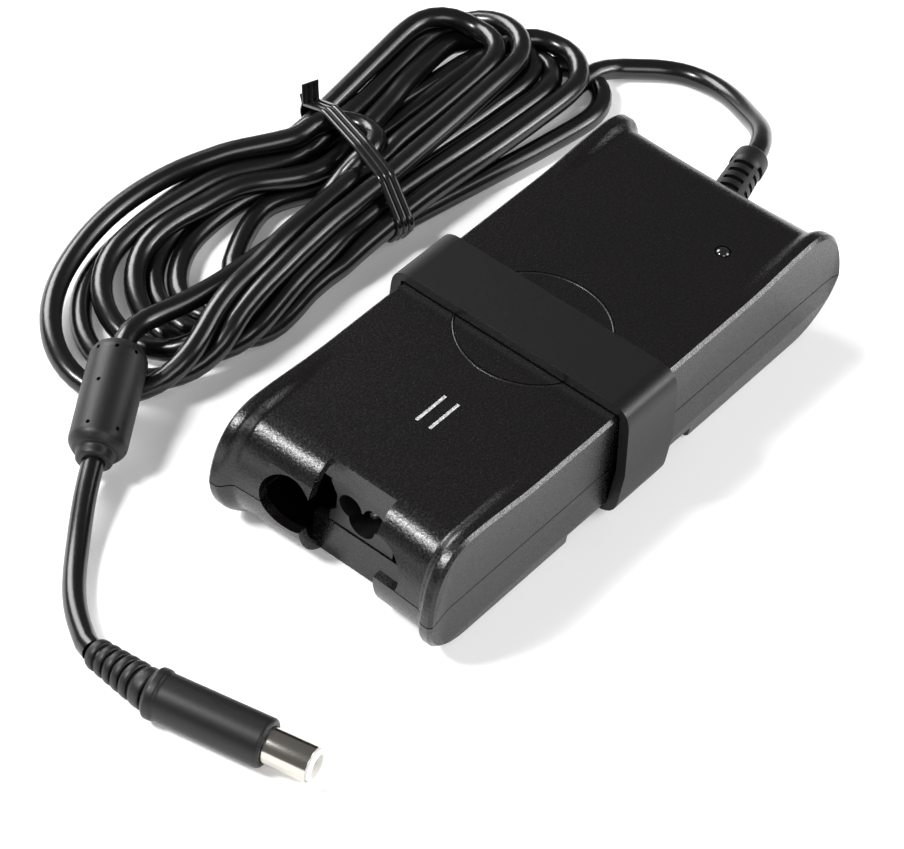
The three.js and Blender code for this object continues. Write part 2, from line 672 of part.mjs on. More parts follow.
function buildBoard() {
  const low = [BOARD_LOW_X, -BOARD_WIDTH / 2, BOARD_Z];
  const high = [BOARD_HIGH_X, BOARD_WIDTH / 2, BOARD_TOP_Z];
  piece("circuit_board", box(low, high), "board");

  const halfLength = BOARD_LENGTH / 2 - SHIELD_INSET;
  const side = BOARD_WIDTH / 2;
  const plate = box(
    [BOARD_X - halfLength, -side, CEILING_Z],
    [BOARD_X + halfLength, side, CEILING_Z + SHIELD_THICKNESS],
  );
  const skirts = [-1, 1].map((s) => {
    const ys = [s * side, s * (side - SHIELD_THICKNESS)].sort((a, b) => a - b);
    return solid(
      box(
        [BOARD_X - halfLength, ys[0], PARTING_Z + 3],
        [BOARD_X + halfLength, ys[1], CEILING_Z + SHIELD_THICKNESS / 2],
      ),
    );
  });
  const lensRoom = solid(rodZ(LENS_FLANGE_RADIUS + 1, 0, FAR, LED_X, LED_Y));
  piece("upper_shield", cut(join(solid(plate), ...skirts), lensRoom), "steel");

  const betweenPosts = BOARD_WIDTH / 2 - POST_INSET_Y - POST_RADIUS - 2 * GAP;
  const sheet = box(
    [BOARD_X - halfLength, -betweenPosts, SHEET_Z],
    [BOARD_X + halfLength, betweenPosts, SHEET_Z + SHEET_THICKNESS],
  );
  piece("insulation_sheet", sheet, "clear_sheet");
  const lower = box(
    [BOARD_X - halfLength, -betweenPosts, LOWER_SHIELD_Z],
    [BOARD_X + halfLength, betweenPosts, LOWER_SHIELD_Z + SHIELD_THICKNESS],
  );
  piece("lower_shield", lower, "steel");
}

// A block on the board, by its centre, its sizes along X and Y, and its height.
function onBoard(name, finish, [x, y], [length, width, height], lift = LEG) {
  const z = BOARD_TOP_Z + lift;
  piece(name, box([x - length / 2, y - width / 2, z], [x + length / 2, y + width / 2, z + height]), finish);
}

// A can that stands on the board.
function can(name, x, y, radius, height, finish = "capacitor_sleeve") {
  piece(name, rodZ(radius, BOARD_TOP_Z + LEG, BOARD_TOP_Z + LEG + height, x, y, 20), finish);
}

function buildMainsSide() {
  const x = BOARD_LOW_X;
  const low = BOARD_TOP_Z + LEG;
  piece("fuse", rodX(2.6, x + 13.5, x + 34.5, HEATSINK_Y + 1, low + 2.6, 16), "fuse_glass");
  onBoard("x_capacitor", "film_yellow", [x + 20.5, -9], [15, 8, 0.76 * TALL]);
  const ring = ROUND_RADIUS;
  const choke = sleeve([[-3.5, 3.4], [3.5, 3.4], [3.5, ring - 0.8], [-3.5, ring - 0.8]], 20);
  piece("choke_core", choke.translate(x + 19, ROUND_Y, low + ring), "ferrite");
  const turns = [[-5, 2], [5, 2], [5, ring], [4, ring], [4, 3], [-4, 3], [-4, ring], [-5, ring]];
  piece("choke_winding", sleeve(turns, 20).translate(x + 19, ROUND_Y, low + ring), "copper");
  onBoard("bridge_rectifier", "epoxy", [x + 30.5, 0], [3.6, 14, 0.7 * TALL]);
  const bulk = rodX(ROUND_RADIUS, BOARD_X - 14, BOARD_X + 11, ROUND_Y, low + ROUND_RADIUS);
  piece("bulk_capacitor", bulk, "capacitor_sleeve");
}

function buildPrimary() {
  const low = BOARD_X - 11;
  const length = 24;
  const height = TALL - 0.4;
  onBoard("primary_heatsink", "steel", [low + length / 2, HEATSINK_Y], [length, HEATSINK_THICKNESS, height]);
  onBoard("primary_transistor", "epoxy", [low + 7, PACKAGE_Y], [10, PACKAGE_THICKNESS, height - 1]);
  const screwZ = BOARD_TOP_Z + LEG + 0.75 * height;
  const head = 1.8;
  const screwY = HEATSINK_Y - HEATSINK_THICKNESS / 2 - GAP - head / 2;
  const screw = new THREE.CylinderGeometry(2.6, 2.6, head, 12).translate(low + 7, screwY, screwZ);
  piece("heatsink_screw", screw, "steel");
  onBoard("control_chip", "epoxy", [low - 2.5, -8.6], [5, 6, 1.6]);
}

function buildTransformer() {
  const x = BOARD_X + 8;
  const y = TRANSFORMER_Y;
  const low = BOARD_TOP_Z + LEG;
  const high = low + TALL;
  const halfX = 11;
  const halfY = TRANSFORMER_HALF_WIDTH;
  const leg = 3.4;
  const window = 6.4;
  const core = cut(
    solid(box([x - halfX, y - 5, low], [x + halfX, y + 5, high])),
    solid(box([x - window, y - FAR, low + leg], [x + window, y + FAR, high - leg])),
  );
  piece("transformer_core", core, "ferrite");
  const winding = box(
    [x - window + GAP, y - halfY, low + leg + GAP],
    [x + window - GAP, y + halfY, high - leg - GAP],
  );
  piece("transformer_winding", winding, "film_yellow");
  onBoard("optocoupler", "epoxy", [x + 8, 19.5], [6, 4.6, 3.4]);
  piece("y_capacitor", rodX(4, x + 6.4, x + 9.4, 11.2, low + 4, 16), "ceramic_blue");
}

function buildOutputSide() {
  const x = BOARD_HIGH_X;
  const height = TALL - 0.4;
  onBoard("secondary_heatsink", "steel", [x - 13, HEATSINK_Y], [22, HEATSINK_THICKNESS, height]);
  onBoard("secondary_diode", "epoxy", [x - 20.4, PACKAGE_Y], [6.8, PACKAGE_THICKNESS, height - 1]);
  can("output_capacitor_1", x - 21, 12, 5, height);
  can("output_capacitor_2", x - 9, 12, 5, height);
  const choke = sleeve([[-3.2, 2.8], [3.2, 2.8], [3.2, 6.4], [-3.2, 6.4]], 20);
  piece("output_choke", choke.translate(x - 22, -5.5, BOARD_TOP_Z + LEG + 6.6), "copper");
  const ledTop = CASE_HEIGHT - WALL - GAP;
  piece("led", rodZ(LED_RADIUS, ledTop - 5, ledTop, LED_X, LED_Y, 16), "lens");
  ["positive", "negative"].forEach((pole, i) => {
    const y = i === 0 ? 1.7 : -1.7;
    piece(`output_lead_${pole}`, rodX(0.9, x - 9, GLAND_FLANGE_X - 2 * GAP, y, GLAND_Z, 10), "cord_pvc");
  });
}

// ---- Cord, and what is on it ----------------------------------------------------------------------

const point = ([x, y, z]) => new THREE.Vector3(x, y, z);

// A tube of the cord's diameter along a smooth line through hand-chosen points.
function cordTube(points, steps) {
  const path = new THREE.CatmullRomCurve3(points.map(point), false, "centripetal");
  const section = new THREE.Shape();
  for (let i = 0; i < CORD_SIDES; i += 1) {
    const turn = ((i + 0.5) / CORD_SIDES) * 2 * Math.PI;
    const x = (Math.cos(turn) * CORD_DIAMETER) / 2;
    const y = (Math.sin(turn) * CORD_DIAMETER) / 2;
    if (i === 0) section.moveTo(x, y);
    else section.lineTo(x, y);
  }
  return new THREE.ExtrudeGeometry(section, { steps, extrudePath: path, bevelEnabled: false });
}

// Turns a piece made along +X so that it points from one place to another, with its start at the first.
function aim(group, from, to) {
  const start = point(from);
  const direction = point(to).sub(start).normalize();
  group.position.copy(start);
  group.quaternion.setFromUnitVectors(new THREE.Vector3(1, 0, 0), direction);
  assembly.add(group);
}

// From the strain relief, round and down to the hank.
const CORD_TO_HANK = [
  [84, 5.65, 15],
  [88.4, 7.1, 14.6],
  [94.2, 11, 12.4],
  [99, 16.6, 9.4],
  [104, 23.4, 6.4],
  [107.8, 31.2, 4],
  [108.6, 38.8, CORD_REST_Z],
  [106, 45.2, CORD_REST_Z],
  [101, 50.4, CORD_REST_Z],
  [97, 53, CORD_REST_Z],
  [93.4, 54.9, CORD_REST_Z],
];

// Over the top of the hank to the ferrite bead.
const CORD_TO_FERRITE = [
  [-6.3, 65.5, 11.2],
  [-13, 65.4, 11.6],
  [-20, 65.7, 11.8],
  [-28, 66.4, 12],
  [-35.5, 67.8, 12],
  [-42.6, 69.2, 12.2],
  [-47.8, 68.8, 12.6],
  [-51.7, 67.4, 12.6],
];

const FERRITE_FROM = [-52.4, 67, 12.4];
const FERRITE_TO = [-77.2, 52, 6.5];

// From the ferrite bead, along the floor to the plug.
const CORD_TO_PLUG = [
  [-76.5, 52.4, 6.7],
  [-80.6, 50, 5.7],
  [-85.2, 46.9, 4.5],
  [-90.4, 43, 3.2],
  [-96.8, 38, CORD_REST_Z],
  [-102.6, 32.6, CORD_REST_Z],
  [-107, 26.8, CORD_REST_Z + 0.2],
  [-109.3, 23.1, 3.1],
  [-110.1, 20.6, 3.5],
];

const PLUG_FROM = [-111.2, 4.6, 5.5];
const PLUG_TO = [-106, -19.6, 5.5];
const RELIEF_FROM = [-110.2, 19.8, 3.6];

// The hank is highest at its waist and right end, and its left ends fan out in two lower steps.
// Each step is an outline on the floor, as [x, y, corner radius].
const HANK_HEIGHT = 12;
const HANK_STEPS = [
  {
    height: HANK_HEIGHT,
    corners: [
      [92, 46, 12], [92, 86, 14], [74, 92, 12], [52, 91, 20], [30, 86, 20], [4, 99, 14],
      [-28, 101, 12], [-36, 92, 8], [-24, 84, 10], [-3.6, 76, 8], [-3.6, 57, 8], [22, 52, 24],
    ],
  },
  {
    height: 0.7 * HANK_HEIGHT,
    corners: [[22, 52, 24], [-32, 54, 16], [-46, 66, 14], [-46, 92, 16], [-30, 101, 12], [20, 88, 20]],
  },
  {
    height: 0.4 * HANK_HEIGHT,
    corners: [[10, 55, 10], [-46, 58, 16], [-64, 68, 14], [-64.4, 84, 16], [-48, 100, 20], [10, 95, 20]],
  },
];

// A closed outline through corners, each rounded by a curve of about its own radius.
function roundedOutline(corners) {
  const shape = new THREE.Shape();
  corners.forEach(([x, y, radius], i) => {
    const corner = new THREE.Vector2(x, y);
    const [bx, by] = corners[(i + corners.length - 1) % corners.length];
    const [ax, ay] = corners[(i + 1) % corners.length];
    const before = new THREE.Vector2(bx, by).sub(corner);
    const after = new THREE.Vector2(ax, ay).sub(corner);
    const from = corner.clone().add(before.setLength(Math.min(radius, 0.48 * before.length())));
    const to = corner.clone().add(after.setLength(Math.min(radius, 0.48 * after.length())));
    if (i === 0) shape.moveTo(from.x, from.y);
    else shape.lineTo(from.x, from.y);
    shape.quadraticCurveTo(x, y, to.x, to.y);
  });
  shape.closePath();
  return shape;
}

// Moves a piece made from X = 0 to where the strain relief leaves the case.
function atGland(geometry) {
  return geometry.rotateZ(THREE.MathUtils.degToRad(GLAND_TURN)).translate(GLAND_ROOT_X + GAP, 0, GLAND_Z);
}

function gland() {
  const length = GLAND_LENGTH;
  const cone = turned([
    [-0.6, 0],
    [-0.6, GLAND_NECK_RADIUS - 1],
    [0.8, GLAND_NECK_RADIUS - 0.8],
    [1.6, GLAND_ROOT_RADIUS],
    [length - 1, GLAND_TIP_RADIUS],
    [length, GLAND_TIP_RADIUS - 0.8],
    [length, 0],
  ]);
  const slots = [];
  for (let i = 0; i < GLAND_SLOTS; i += 1) {
    const along = GLAND_SLOT_START + i * GLAND_SLOT_PITCH;
    [-1, 1].forEach((side) => {
      const middle = side * (GLAND_WEB + GLAND_TIP_RADIUS);
      const slot = new THREE.BoxGeometry(GLAND_SLOT_WIDTH, FAR, 2 * GLAND_TIP_RADIUS);
      slots.push(solid(atGland(slot.translate(along, 0, middle))));
    });
  }
  const whole = join(
    solid(atGland(cone)),
    solid(rodX(GLAND_NECK_RADIUS, GLAND_FLANGE_X, GLAND_ROOT_X + 1, 0, GLAND_Z)),
    solid(rodX(GLAND_FLANGE_RADIUS, GLAND_FLANGE_X, GLAND_FLANGE_X + GLAND_FLANGE, 0, GLAND_Z)),
  );
  return cut(whole, ...slots);
}

function buildFerrite() {
  const bore = CORD_DIAMETER / 2 + CORD_PLAY;
  const end = FERRITE_COVER_LENGTH;
  const start = (end - FERRITE_CORE_LENGTH) / 2;
  const chamber = FERRITE_CORE_RADIUS + GAP;
  const group = new THREE.Group();
  const cover = sleeve([
    [0, bore],
    [start - GAP, bore],
    [start - GAP, chamber],
    [end - start + GAP, chamber],
    [end - start + GAP, bore],
    [end + FERRITE_COLLAR, bore],
    [end + FERRITE_COLLAR, FERRITE_COLLAR_RADIUS - 0.6],
    [end + 0.6, FERRITE_COLLAR_RADIUS],
    [end, FERRITE_COLLAR_RADIUS],
    [end, FERRITE_COVER_RADIUS - 1.6],
    [end - 1.6, FERRITE_COVER_RADIUS],
    [3, FERRITE_COVER_RADIUS],
    [0.9, FERRITE_COVER_RADIUS - 1.1],
    [0, FERRITE_COVER_RADIUS - 3],
  ]);
  piece("ferrite_cover", cover, "soft_pvc", group);
  const core = sleeve([
    [start, bore],
    [end - start, bore],
    [end - start, FERRITE_CORE_RADIUS],
    [start, FERRITE_CORE_RADIUS],
  ]);
  piece("ferrite_core", core, "ferrite", group);
  const inside = rodX(CORD_DIAMETER / 2, GAP, end + FERRITE_COLLAR - GAP, 0, 0, 12);
  piece("cord_in_ferrite", inside, "cord_pvc", group);
  aim(group, FERRITE_FROM, FERRITE_TO);
}

function buildPlug() {
  const group = new THREE.Group();
  const mouth = PLUG_LENGTH;
  const tip = mouth + BARREL_LENGTH;
  const bottom = mouth - BARREL_INSIDE + GAP;
  const boreBottom = bottom + PLUG_FLOOR;
  const barrelBore = BARREL_RADIUS - BARREL_WALL;
  const body = turned([
    [0, 0],
    [0, PLUG_RADIUS - 1],
    [1, PLUG_RADIUS],
    [2.4, PLUG_RADIUS],
    [3, PLUG_RADIUS - 0.35],
    [mouth - 0.6, PLUG_RADIUS - 0.2],
    [mouth, PLUG_RADIUS - 0.5],
    [mouth, BARREL_RADIUS + GAP],
    [bottom - GAP, BARREL_RADIUS + GAP],
    [bottom - GAP, 0],
  ]);
  piece("plug_body", body, "soft_pvc", group);
  const barrel = sleeve([
    [bottom, barrelBore],
    [tip, barrelBore],
    [tip, BARREL_RADIUS],
    [bottom, BARREL_RADIUS],
  ]);
  piece("plug_barrel", barrel, "nickel", group);
  const insulator = turned([
    [bottom, 0],
    [bottom, barrelBore - GAP],
    [tip + GAP, barrelBore - GAP],
    [tip + GAP, BARREL_RADIUS],
    [tip + 0.9, BARREL_RADIUS - 0.3],
    [tip + 0.9, PLUG_BORE_RADIUS],
    [boreBottom, PLUG_BORE_RADIUS],
    [boreBottom, 0],
  ]);
  piece("plug_insulator", insulator, "white_plastic", group);
  const inner = sleeve([
    [boreBottom + GAP, PLUG_BORE_RADIUS - GAP - BARREL_WALL],
    [tip - PLUG_LIP, PLUG_BORE_RADIUS - GAP - BARREL_WALL],
    [tip - PLUG_LIP, PLUG_BORE_RADIUS - GAP],
    [boreBottom + GAP, PLUG_BORE_RADIUS - GAP],
  ]);
  piece("plug_inner_sleeve", inner, "nickel", group);
  const pin = turned([
    [boreBottom + GAP, 0],
    [boreBottom + GAP, CENTRE_PIN_RADIUS],
    [tip - 2 * PLUG_LIP, CENTRE_PIN_RADIUS],
    [tip - PLUG_LIP, 0],
  ], 10);
  piece("plug_centre_pin", pin, "nickel", group);
  aim(group, PLUG_FROM, PLUG_TO);
}

// A row of ribs that grow from the cord to the plug.
function buildPlugRelief() {
  const group = new THREE.Group();
  const length = point(PLUG_FROM).distanceTo(point(RELIEF_FROM)) - PLUG_RELIEF_SETBACK;
  const pitch = (length - 1) / PLUG_RELIEF_RIBS;
  const profile = [[0, 0], [0, PLUG_RELIEF_TIP_RADIUS - 0.5]];
  for (let i = 0; i < PLUG_RELIEF_RIBS; i += 1) {
    const share = i / (PLUG_RELIEF_RIBS - 1);
    const radius = THREE.MathUtils.lerp(PLUG_RELIEF_TIP_RADIUS, PLUG_RELIEF_RADIUS, share);
    const groove = radius - PLUG_RELIEF_GROOVE;
    const low = i * pitch;
    profile.push([low + 0.3, radius], [low + 0.62 * pitch, radius]);
    profile.push([low + 0.62 * pitch + 0.2, groove], [low + pitch, groove]);
  }
  profile.push([length, PLUG_RELIEF_RADIUS], [length, 0]);
  piece("plug_strain_relief", turned(profile, 20), "soft_pvc", group);
  aim(group, RELIEF_FROM, PLUG_FROM);
}

// A flat wire round the hank: over its top and down its two sides, open at the floor.
function buildTie() {
  const inner = TIE_HALF_WIDTH;
  const outer = TIE_HALF_WIDTH + TIE_THICKNESS;
  const foot = GAP;
  const low = HANK_HEIGHT + GAP;
  const high = low + TIE_THICKNESS;
  const right = [[inner, foot], [outer, foot], [outer, high]];
  const left = [[-outer, high], [-outer, foot], [-inner, foot], [-inner, low]];
  const outline = [...right, ...left, [inner, low]].map(([y, z]) => new THREE.Vector2(y, z));
  const band = alongX(new THREE.Shape(outline), TIE_WIDTH);
  piece("twist_tie", band.translate(TIE_X - TIE_WIDTH / 2, TIE_Y, 0), "tie_pvc");
}

function buildCord() {
  piece("cord_gland", gland(), "soft_pvc");
  piece("cord_to_hank", cordTube(CORD_TO_HANK, 10), "cord_pvc");
  const steps = HANK_STEPS.map(({ height, corners }) =>
    solid(
      new THREE.ExtrudeGeometry(roundedOutline(corners), {
        depth: height,
        bevelEnabled: false,
        curveSegments: 4,
      }),
    ),
  );
  piece("cord_hank", join(...steps), "cord_pvc");
  piece("cord_to_ferrite", cordTube(CORD_TO_FERRITE, 8), "cord_pvc");
  piece("cord_to_plug", cordTube(CORD_TO_PLUG, 8), "cord_pvc");
}

buildCase();
buildStrap();
buildInlet();
buildBoard();
buildMainsSide();
buildPrimary();
buildTransformer();
buildOutputSide();
buildCord();
buildFerrite();
buildPlug();
buildPlugRelief();
buildTie();

export default assembly;
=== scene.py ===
# %% [markdown]
# # A laptop power adapter with its cord tied in a hank
#
# The adapter is a black case of two plastic shells, with a rubber strap round it, a mains socket
# in one end and an output cord at the other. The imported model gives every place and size, and
# this script makes the surfaces that the eye sees. It is in metres, with Z up. Outlines are
# written in millimetres.

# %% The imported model
import math

import bmesh
import bpy
import numpy as np
from mathutils import Matrix, Vector


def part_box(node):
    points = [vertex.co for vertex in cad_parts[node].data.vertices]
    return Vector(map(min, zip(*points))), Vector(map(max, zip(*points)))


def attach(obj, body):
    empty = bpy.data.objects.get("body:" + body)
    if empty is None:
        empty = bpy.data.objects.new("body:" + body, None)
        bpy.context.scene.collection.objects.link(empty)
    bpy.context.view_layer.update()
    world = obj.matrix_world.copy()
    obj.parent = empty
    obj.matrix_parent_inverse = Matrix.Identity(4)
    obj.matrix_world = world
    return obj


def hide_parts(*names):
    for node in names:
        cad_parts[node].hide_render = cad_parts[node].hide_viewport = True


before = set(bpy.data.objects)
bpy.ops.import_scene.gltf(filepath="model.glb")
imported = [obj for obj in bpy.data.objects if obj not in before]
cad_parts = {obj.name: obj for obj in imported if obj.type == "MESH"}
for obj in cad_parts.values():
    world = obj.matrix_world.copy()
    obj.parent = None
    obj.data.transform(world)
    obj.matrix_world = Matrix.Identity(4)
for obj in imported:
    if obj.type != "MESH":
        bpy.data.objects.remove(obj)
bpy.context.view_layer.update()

MM = 0.001
CASE_TOP = 27.9 * MM  # height of its flat middle

# %% [markdown]
# ## Camera and light
#
# A long lens stands high above one corner, so that the top, one side and the mains end all show.

# %% Camera
IMAGE_WIDTH = 904
FOCAL_PIXELS = 3685.4
SENSOR_MM = 36.0
AZIMUTH, ELEVATION, ROLL = (math.radians(v) for v in (-54.5, 45.89, 5.63))
CAMERA_PLACE = Vector((-0.4464, -0.2988, 0.5494))

toward = Vector((
    -math.sin(AZIMUTH) * math.cos(ELEVATION),
    math.cos(AZIMUTH) * math.cos(ELEVATION),
    -math.sin(ELEVATION),
))
level_right = toward.cross(Vector((0, 0, 1))).normalized()
level_up = level_right.cross(toward)
right = math.cos(ROLL) * level_right + math.sin(ROLL) * level_up
up = -math.sin(ROLL) * level_right + math.cos(ROLL) * level_up

lens = bpy.data.cameras.new("camera")
lens.sensor_width = SENSOR_MM
lens.lens = FOCAL_PIXELS * SENSOR_MM / IMAGE_WIDTH
lens.clip_start = 0.01
camera = bpy.data.objects.new("camera", lens)
camera.matrix_world = Matrix((
    (right.x, up.x, -toward.x, CAMERA_PLACE.x),
    (right.y, up.y, -toward.y, CAMERA_PLACE.y),
    (right.z, up.z, -toward.z, CAMERA_PLACE.z),
    (0, 0, 0, 1),
))
bpy.context.collection.objects.link(camera)
bpy.context.scene.camera = camera
print("lens, mm:", round(lens.lens, 1))

# %% [markdown]
# A studio shot of a black object is mostly a picture of its lamps. A black surface shows little
# colour of its own, so soft lamps are placed where their reflections draw the edges. The flat top
# mirrors a patch of sky ahead and to the right of the lens, so no lamp stands there.

# %% Studio lamps and a pale surround
def softbox(name, place, target, size, power):
    """A square lamp that faces a point."""
    data = bpy.data.lights.new(name, "AREA")
    data.shape, data.size, data.energy = "SQUARE", size, power
    lamp = bpy.data.objects.new(name, data)
    lamp.location = place
    lamp.rotation_euler = (Vector(target) - Vector(place)).to_track_quat("-Z", "Y").to_euler()
    bpy.context.collection.objects.link(lamp)


softbox("back", (0.20, 1.15, 0.70), (0, 0.03, 0), 0.7, 19)
softbox("left", (-0.66, 0.50, 0.96), (-0.05, 0.0, 0.02), 0.24, 17)
softbox("front", (0.85, -1.05, 0.80), (0.05, 0, 0.01), 0.95, 15)
softbox("near", (-0.55, -1.05, 0.95), (-0.03, 0, 0.01), 0.7, 8)
softbox("edge", (0.80, -0.97, 0.55), (0.02, -0.03, 0.02), 0.24, 4)
world = bpy.data.worlds.new("studio")
world.use_nodes = True
world.node_tree.nodes["Background"].inputs["Color"].default_value = (1, 1, 1, 1)
world.node_tree.nodes["Background"].inputs["Strength"].default_value = 0.16
bpy.context.scene.world = world
bpy.context.scene.view_settings.view_transform = "Standard"

# %% [markdown]
# ## Small tools
#
# A finish is a tree of shader nodes. One function adds a node with its settings and links, so
# that a tree reads from its first pattern down to its last socket. Another turns a hex colour, as
# a paint chart gives it, to the linear numbers that light is added up in.

# %% Colours, nodes and meshes
def colour(hex_text):
    """An sRGB hex colour as linear red, green, blue and alpha."""
    parts = [int(hex_text[i:i + 2], 16) / 255 for i in (0, 2, 4)]
    linear = [c / 12.92 if c <= 0.04045 else ((c + 0.055) / 1.055) ** 2.4 for c in parts]
    return (*linear, 1.0)


def add(tree, kind, inputs=None, **settings):
    """Adds a node. An input is a value, or the output socket that feeds it."""
    node = tree.nodes.new(kind)
    for key, value in settings.items():
        setattr(node, key, value)
    for key, value in (inputs or {}).items():
        if isinstance(value, bpy.types.NodeSocket):
            tree.links.new(value, node.inputs[key])
        else:
            node.inputs[key].default_value = value
    return node


def finish_of(name, **sockets):
    """A new material with these sockets of its shader set. Gives the material, tree and shader."""
    material = bpy.data.materials.new(name)
    material.use_nodes = True
    tree = material.node_tree
    shader = tree.nodes["Principled BSDF"]
    for key, value in sockets.items():
        shader.inputs[key.replace("_", " ")].default_value = value
    return material, tree, shader


def placed(mesh, name, sharp_degrees=40):
    """A mesh as an object in the scene, shaded smooth except across edges sharper than an angle."""
    mesh.shade_smooth()
    mesh.set_sharp_from_angle(angle=math.radians(sharp_degrees))
    piece = bpy.data.objects.new(name, mesh)
    bpy.context.collection.objects.link(piece)
    return piece


print("white as linear light:", colour("ffffff"))

# %% [markdown]
# ## The cord
#
# The output cord is a soft black PVC lead. It leaves the case through a strain relief, runs seven
# times round a long hank that a wire tie pinches at its middle, and ends in a barrel plug. Its
# route is one line of points. The loose stretches are listed points.

# %% The loose stretches
CORD = 4.8 * MM
FLOOR = 0.0001  # a hair above the table

CORD_TO_HANK = [
    (0.0840, 0.00565, 0.0150), (0.0884, 0.0071, 0.0146), (0.0942, 0.0110, 0.0124),
    (0.0990, 0.0166, 0.0094), (0.1040, 0.0234, 0.0064), (0.1078, 0.0312, 0.0040),
    (0.1086, 0.0388, 0.0025), (0.1060, 0.0452, 0.0025), (0.1010, 0.0504, 0.0025),
    (0.0970, 0.0530, 0.0025), (0.0934, 0.0549, 0.0025),
]
CORD_TO_FERRITE = [
    (-0.0063, 0.0655, 0.0112), (-0.0130, 0.0654, 0.0116), (-0.0200, 0.0657, 0.0118),
    (-0.0280, 0.0664, 0.0120), (-0.0355, 0.0678, 0.0120),
    (-0.0426, 0.0692, 0.0122), (-0.0478, 0.0688, 0.0126), (-0.0517, 0.0674, 0.0126),
]
FERRITE_FROM = Vector((-0.0524, 0.0670, 0.0124))
FERRITE_TO = Vector((-0.0772, 0.0520, 0.0065))
CORD_TO_PLUG = [
    (-0.0765, 0.0524, 0.0067), (-0.0806, 0.0500, 0.0057), (-0.0852, 0.0469, 0.0045),
    (-0.0904, 0.0430, 0.0032), (-0.0968, 0.0380, 0.0025), (-0.1026, 0.0326, 0.0025),
    (-0.1070, 0.0268, 0.0027), (-0.1093, 0.0231, 0.0031), (-0.1101, 0.0206, 0.0035),
]
print("points by hand:", len(CORD_TO_HANK) + len(CORD_TO_FERRITE) + len(CORD_TO_PLUG))

# %% [markdown]
# A loop works out each turn of the hank from where its two ends lie. A turn leaves the waist for
# the left end, comes back to the waist in a slight bow, and goes round the right end.

# %% The turns of the hank
TIE_X = 25
# Each end of the hank has a middle (X and Y), a reach, a half width and a slant, in mm and degrees.
# The first turn is the innermost and the lowest, and each later one goes round and over it.
# The last is short: it only goes round beside the tie.
LEFT_ENDS = [
    (0, 68.5, 15.5, 9.5, 20), (-10, 71.5, 18.5, 13.5, 22), (-14, 73.5, 18.5, 16, 23),
    (-17, 74, 20, 17, 24), (-23, 74.5, 20.5, 17.5, 24), (-29, 75.5, 23.5, 18, 24),
    (-34.6, 75.8, 25.2, 18.8, 28),
]
RIGHT_ENDS = [
    (77.5, 59, 15, 11, -3), (76, 66, 15, 11, 0), (72.5, 69.5, 14.5, 11, 0), (73, 74.5, 13.5, 11.3, 2),
    (71, 76.4, 14, 11.5, 5), (68, 79.4, 13.2, 10.8, 14), (27, 74.5, 9, 8.6, 0),
]
# Where each turn crosses the waist, on its way out to the left and on its way back.
LOW_WAIST_Y = [63, 55.6, 58.2, 60.8, 63.4, 61.8, 67]
HIGH_WAIST_Y = [75.5, 80.3, 85, 77.9, 82.7, 87, 81.5]
BULGE = [4, 4, 4, 4.5, 4.5, 5, 10]
TO_FERRITE = [(25, 69.8, 8), (14, 67.6, 8), (4, 66, 9)]
LOWEST = 2.4  # height of the first turn, mm
# How far each turn starts above the one before it, at its lower limb, tips and upper limb.
RISE_LOW, RISE_TIP, RISE_RIGHT, RISE_HIGH = 1.5, 0.3, 1.2, 1.5


def end_arc(middle_x, middle_y, reach, half_width, slant, heights, side):
    """Five points round one end of the hank. Side is 1 at the right and -1 at the left."""
    angle = math.radians(slant)
    out = side * np.array([math.cos(angle), math.sin(angle)])
    across = side * np.array([-math.sin(angle), math.cos(angle)])
    arc = []
    for turn, height in zip((90, 45, 0, -45, -90), np.interp(range(5), (0, 2, 4), heights)):
        a = math.radians(turn)
        x, y = (middle_x, middle_y) + reach * math.cos(a) * out + half_width * math.sin(a) * across
        arc.append((x, y, height))
    return arc


def bowed(start, end, bulge):
    """Two points between a left end and the waist, bowed outwards."""
    for share in (1 / 3, 2 / 3):
        x, y, z = np.array(start) + share * (np.array(end) - np.array(start))
        yield x, y + bulge, z


def hank_points():
    """The points that the hank goes through, turn by turn."""
    points = []
    turns = zip(LEFT_ENDS, RIGHT_ENDS, LOW_WAIST_Y, HIGH_WAIST_Y, BULGE)
    for k, (left, right, low, high, bulge) in enumerate(turns):
        rises = (RISE_LOW, RISE_TIP, RISE_RIGHT, RISE_HIGH)
        low_z, tip_z, right_z, high_z = (LOWEST + k * rise for rise in rises)
        left_arc = end_arc(*left, (low_z, tip_z, (tip_z + high_z) / 2), -1)
        back = (TIE_X, high, high_z)
        points += [(TIE_X, low, low_z), *left_arc, *bowed(left_arc[-1], back, bulge), back]
        points += end_arc(*right, (high_z, right_z, low_z + RISE_LOW), 1)
    return [tuple(v * MM for v in point) for point in points + TO_FERRITE]


print("points that steer the hank:", len(hank_points()))

# %% [markdown]
# A smooth curve goes through all the points. It is then cut into even steps, and its small kinks
# are eased out by moving each point to and from the middle of its neighbours, which doesn't
# shrink the loops.

# %% A curve through the points
def smooth_line(points, step):
    """Evenly spaced points along a curve through the given ones, with its small kinks eased out."""
    p = np.array(points, float)
    p = np.vstack([2 * p[0] - p[1], p, 2 * p[-1] - p[-2]])
    out = []
    for a, b, c, d in zip(p, p[1:], p[2:], p[3:]):
        for t in np.linspace(0, 1, 24, endpoint=False):
            out.append(0.5 * (2 * b + (c - a) * t + (2 * a - 5 * b + 4 * c - d) * t ** 2
                              + (3 * b - a - 3 * c + d) * t ** 3))
    line = spaced(np.array(out + [p[-2]]), step)
    for pull in (0.5, -0.52) * 30:
        line[2:-2] += pull * ((line[1:-3] + line[3:-1]) / 2 - line[2:-2])
    return spaced(line, step)


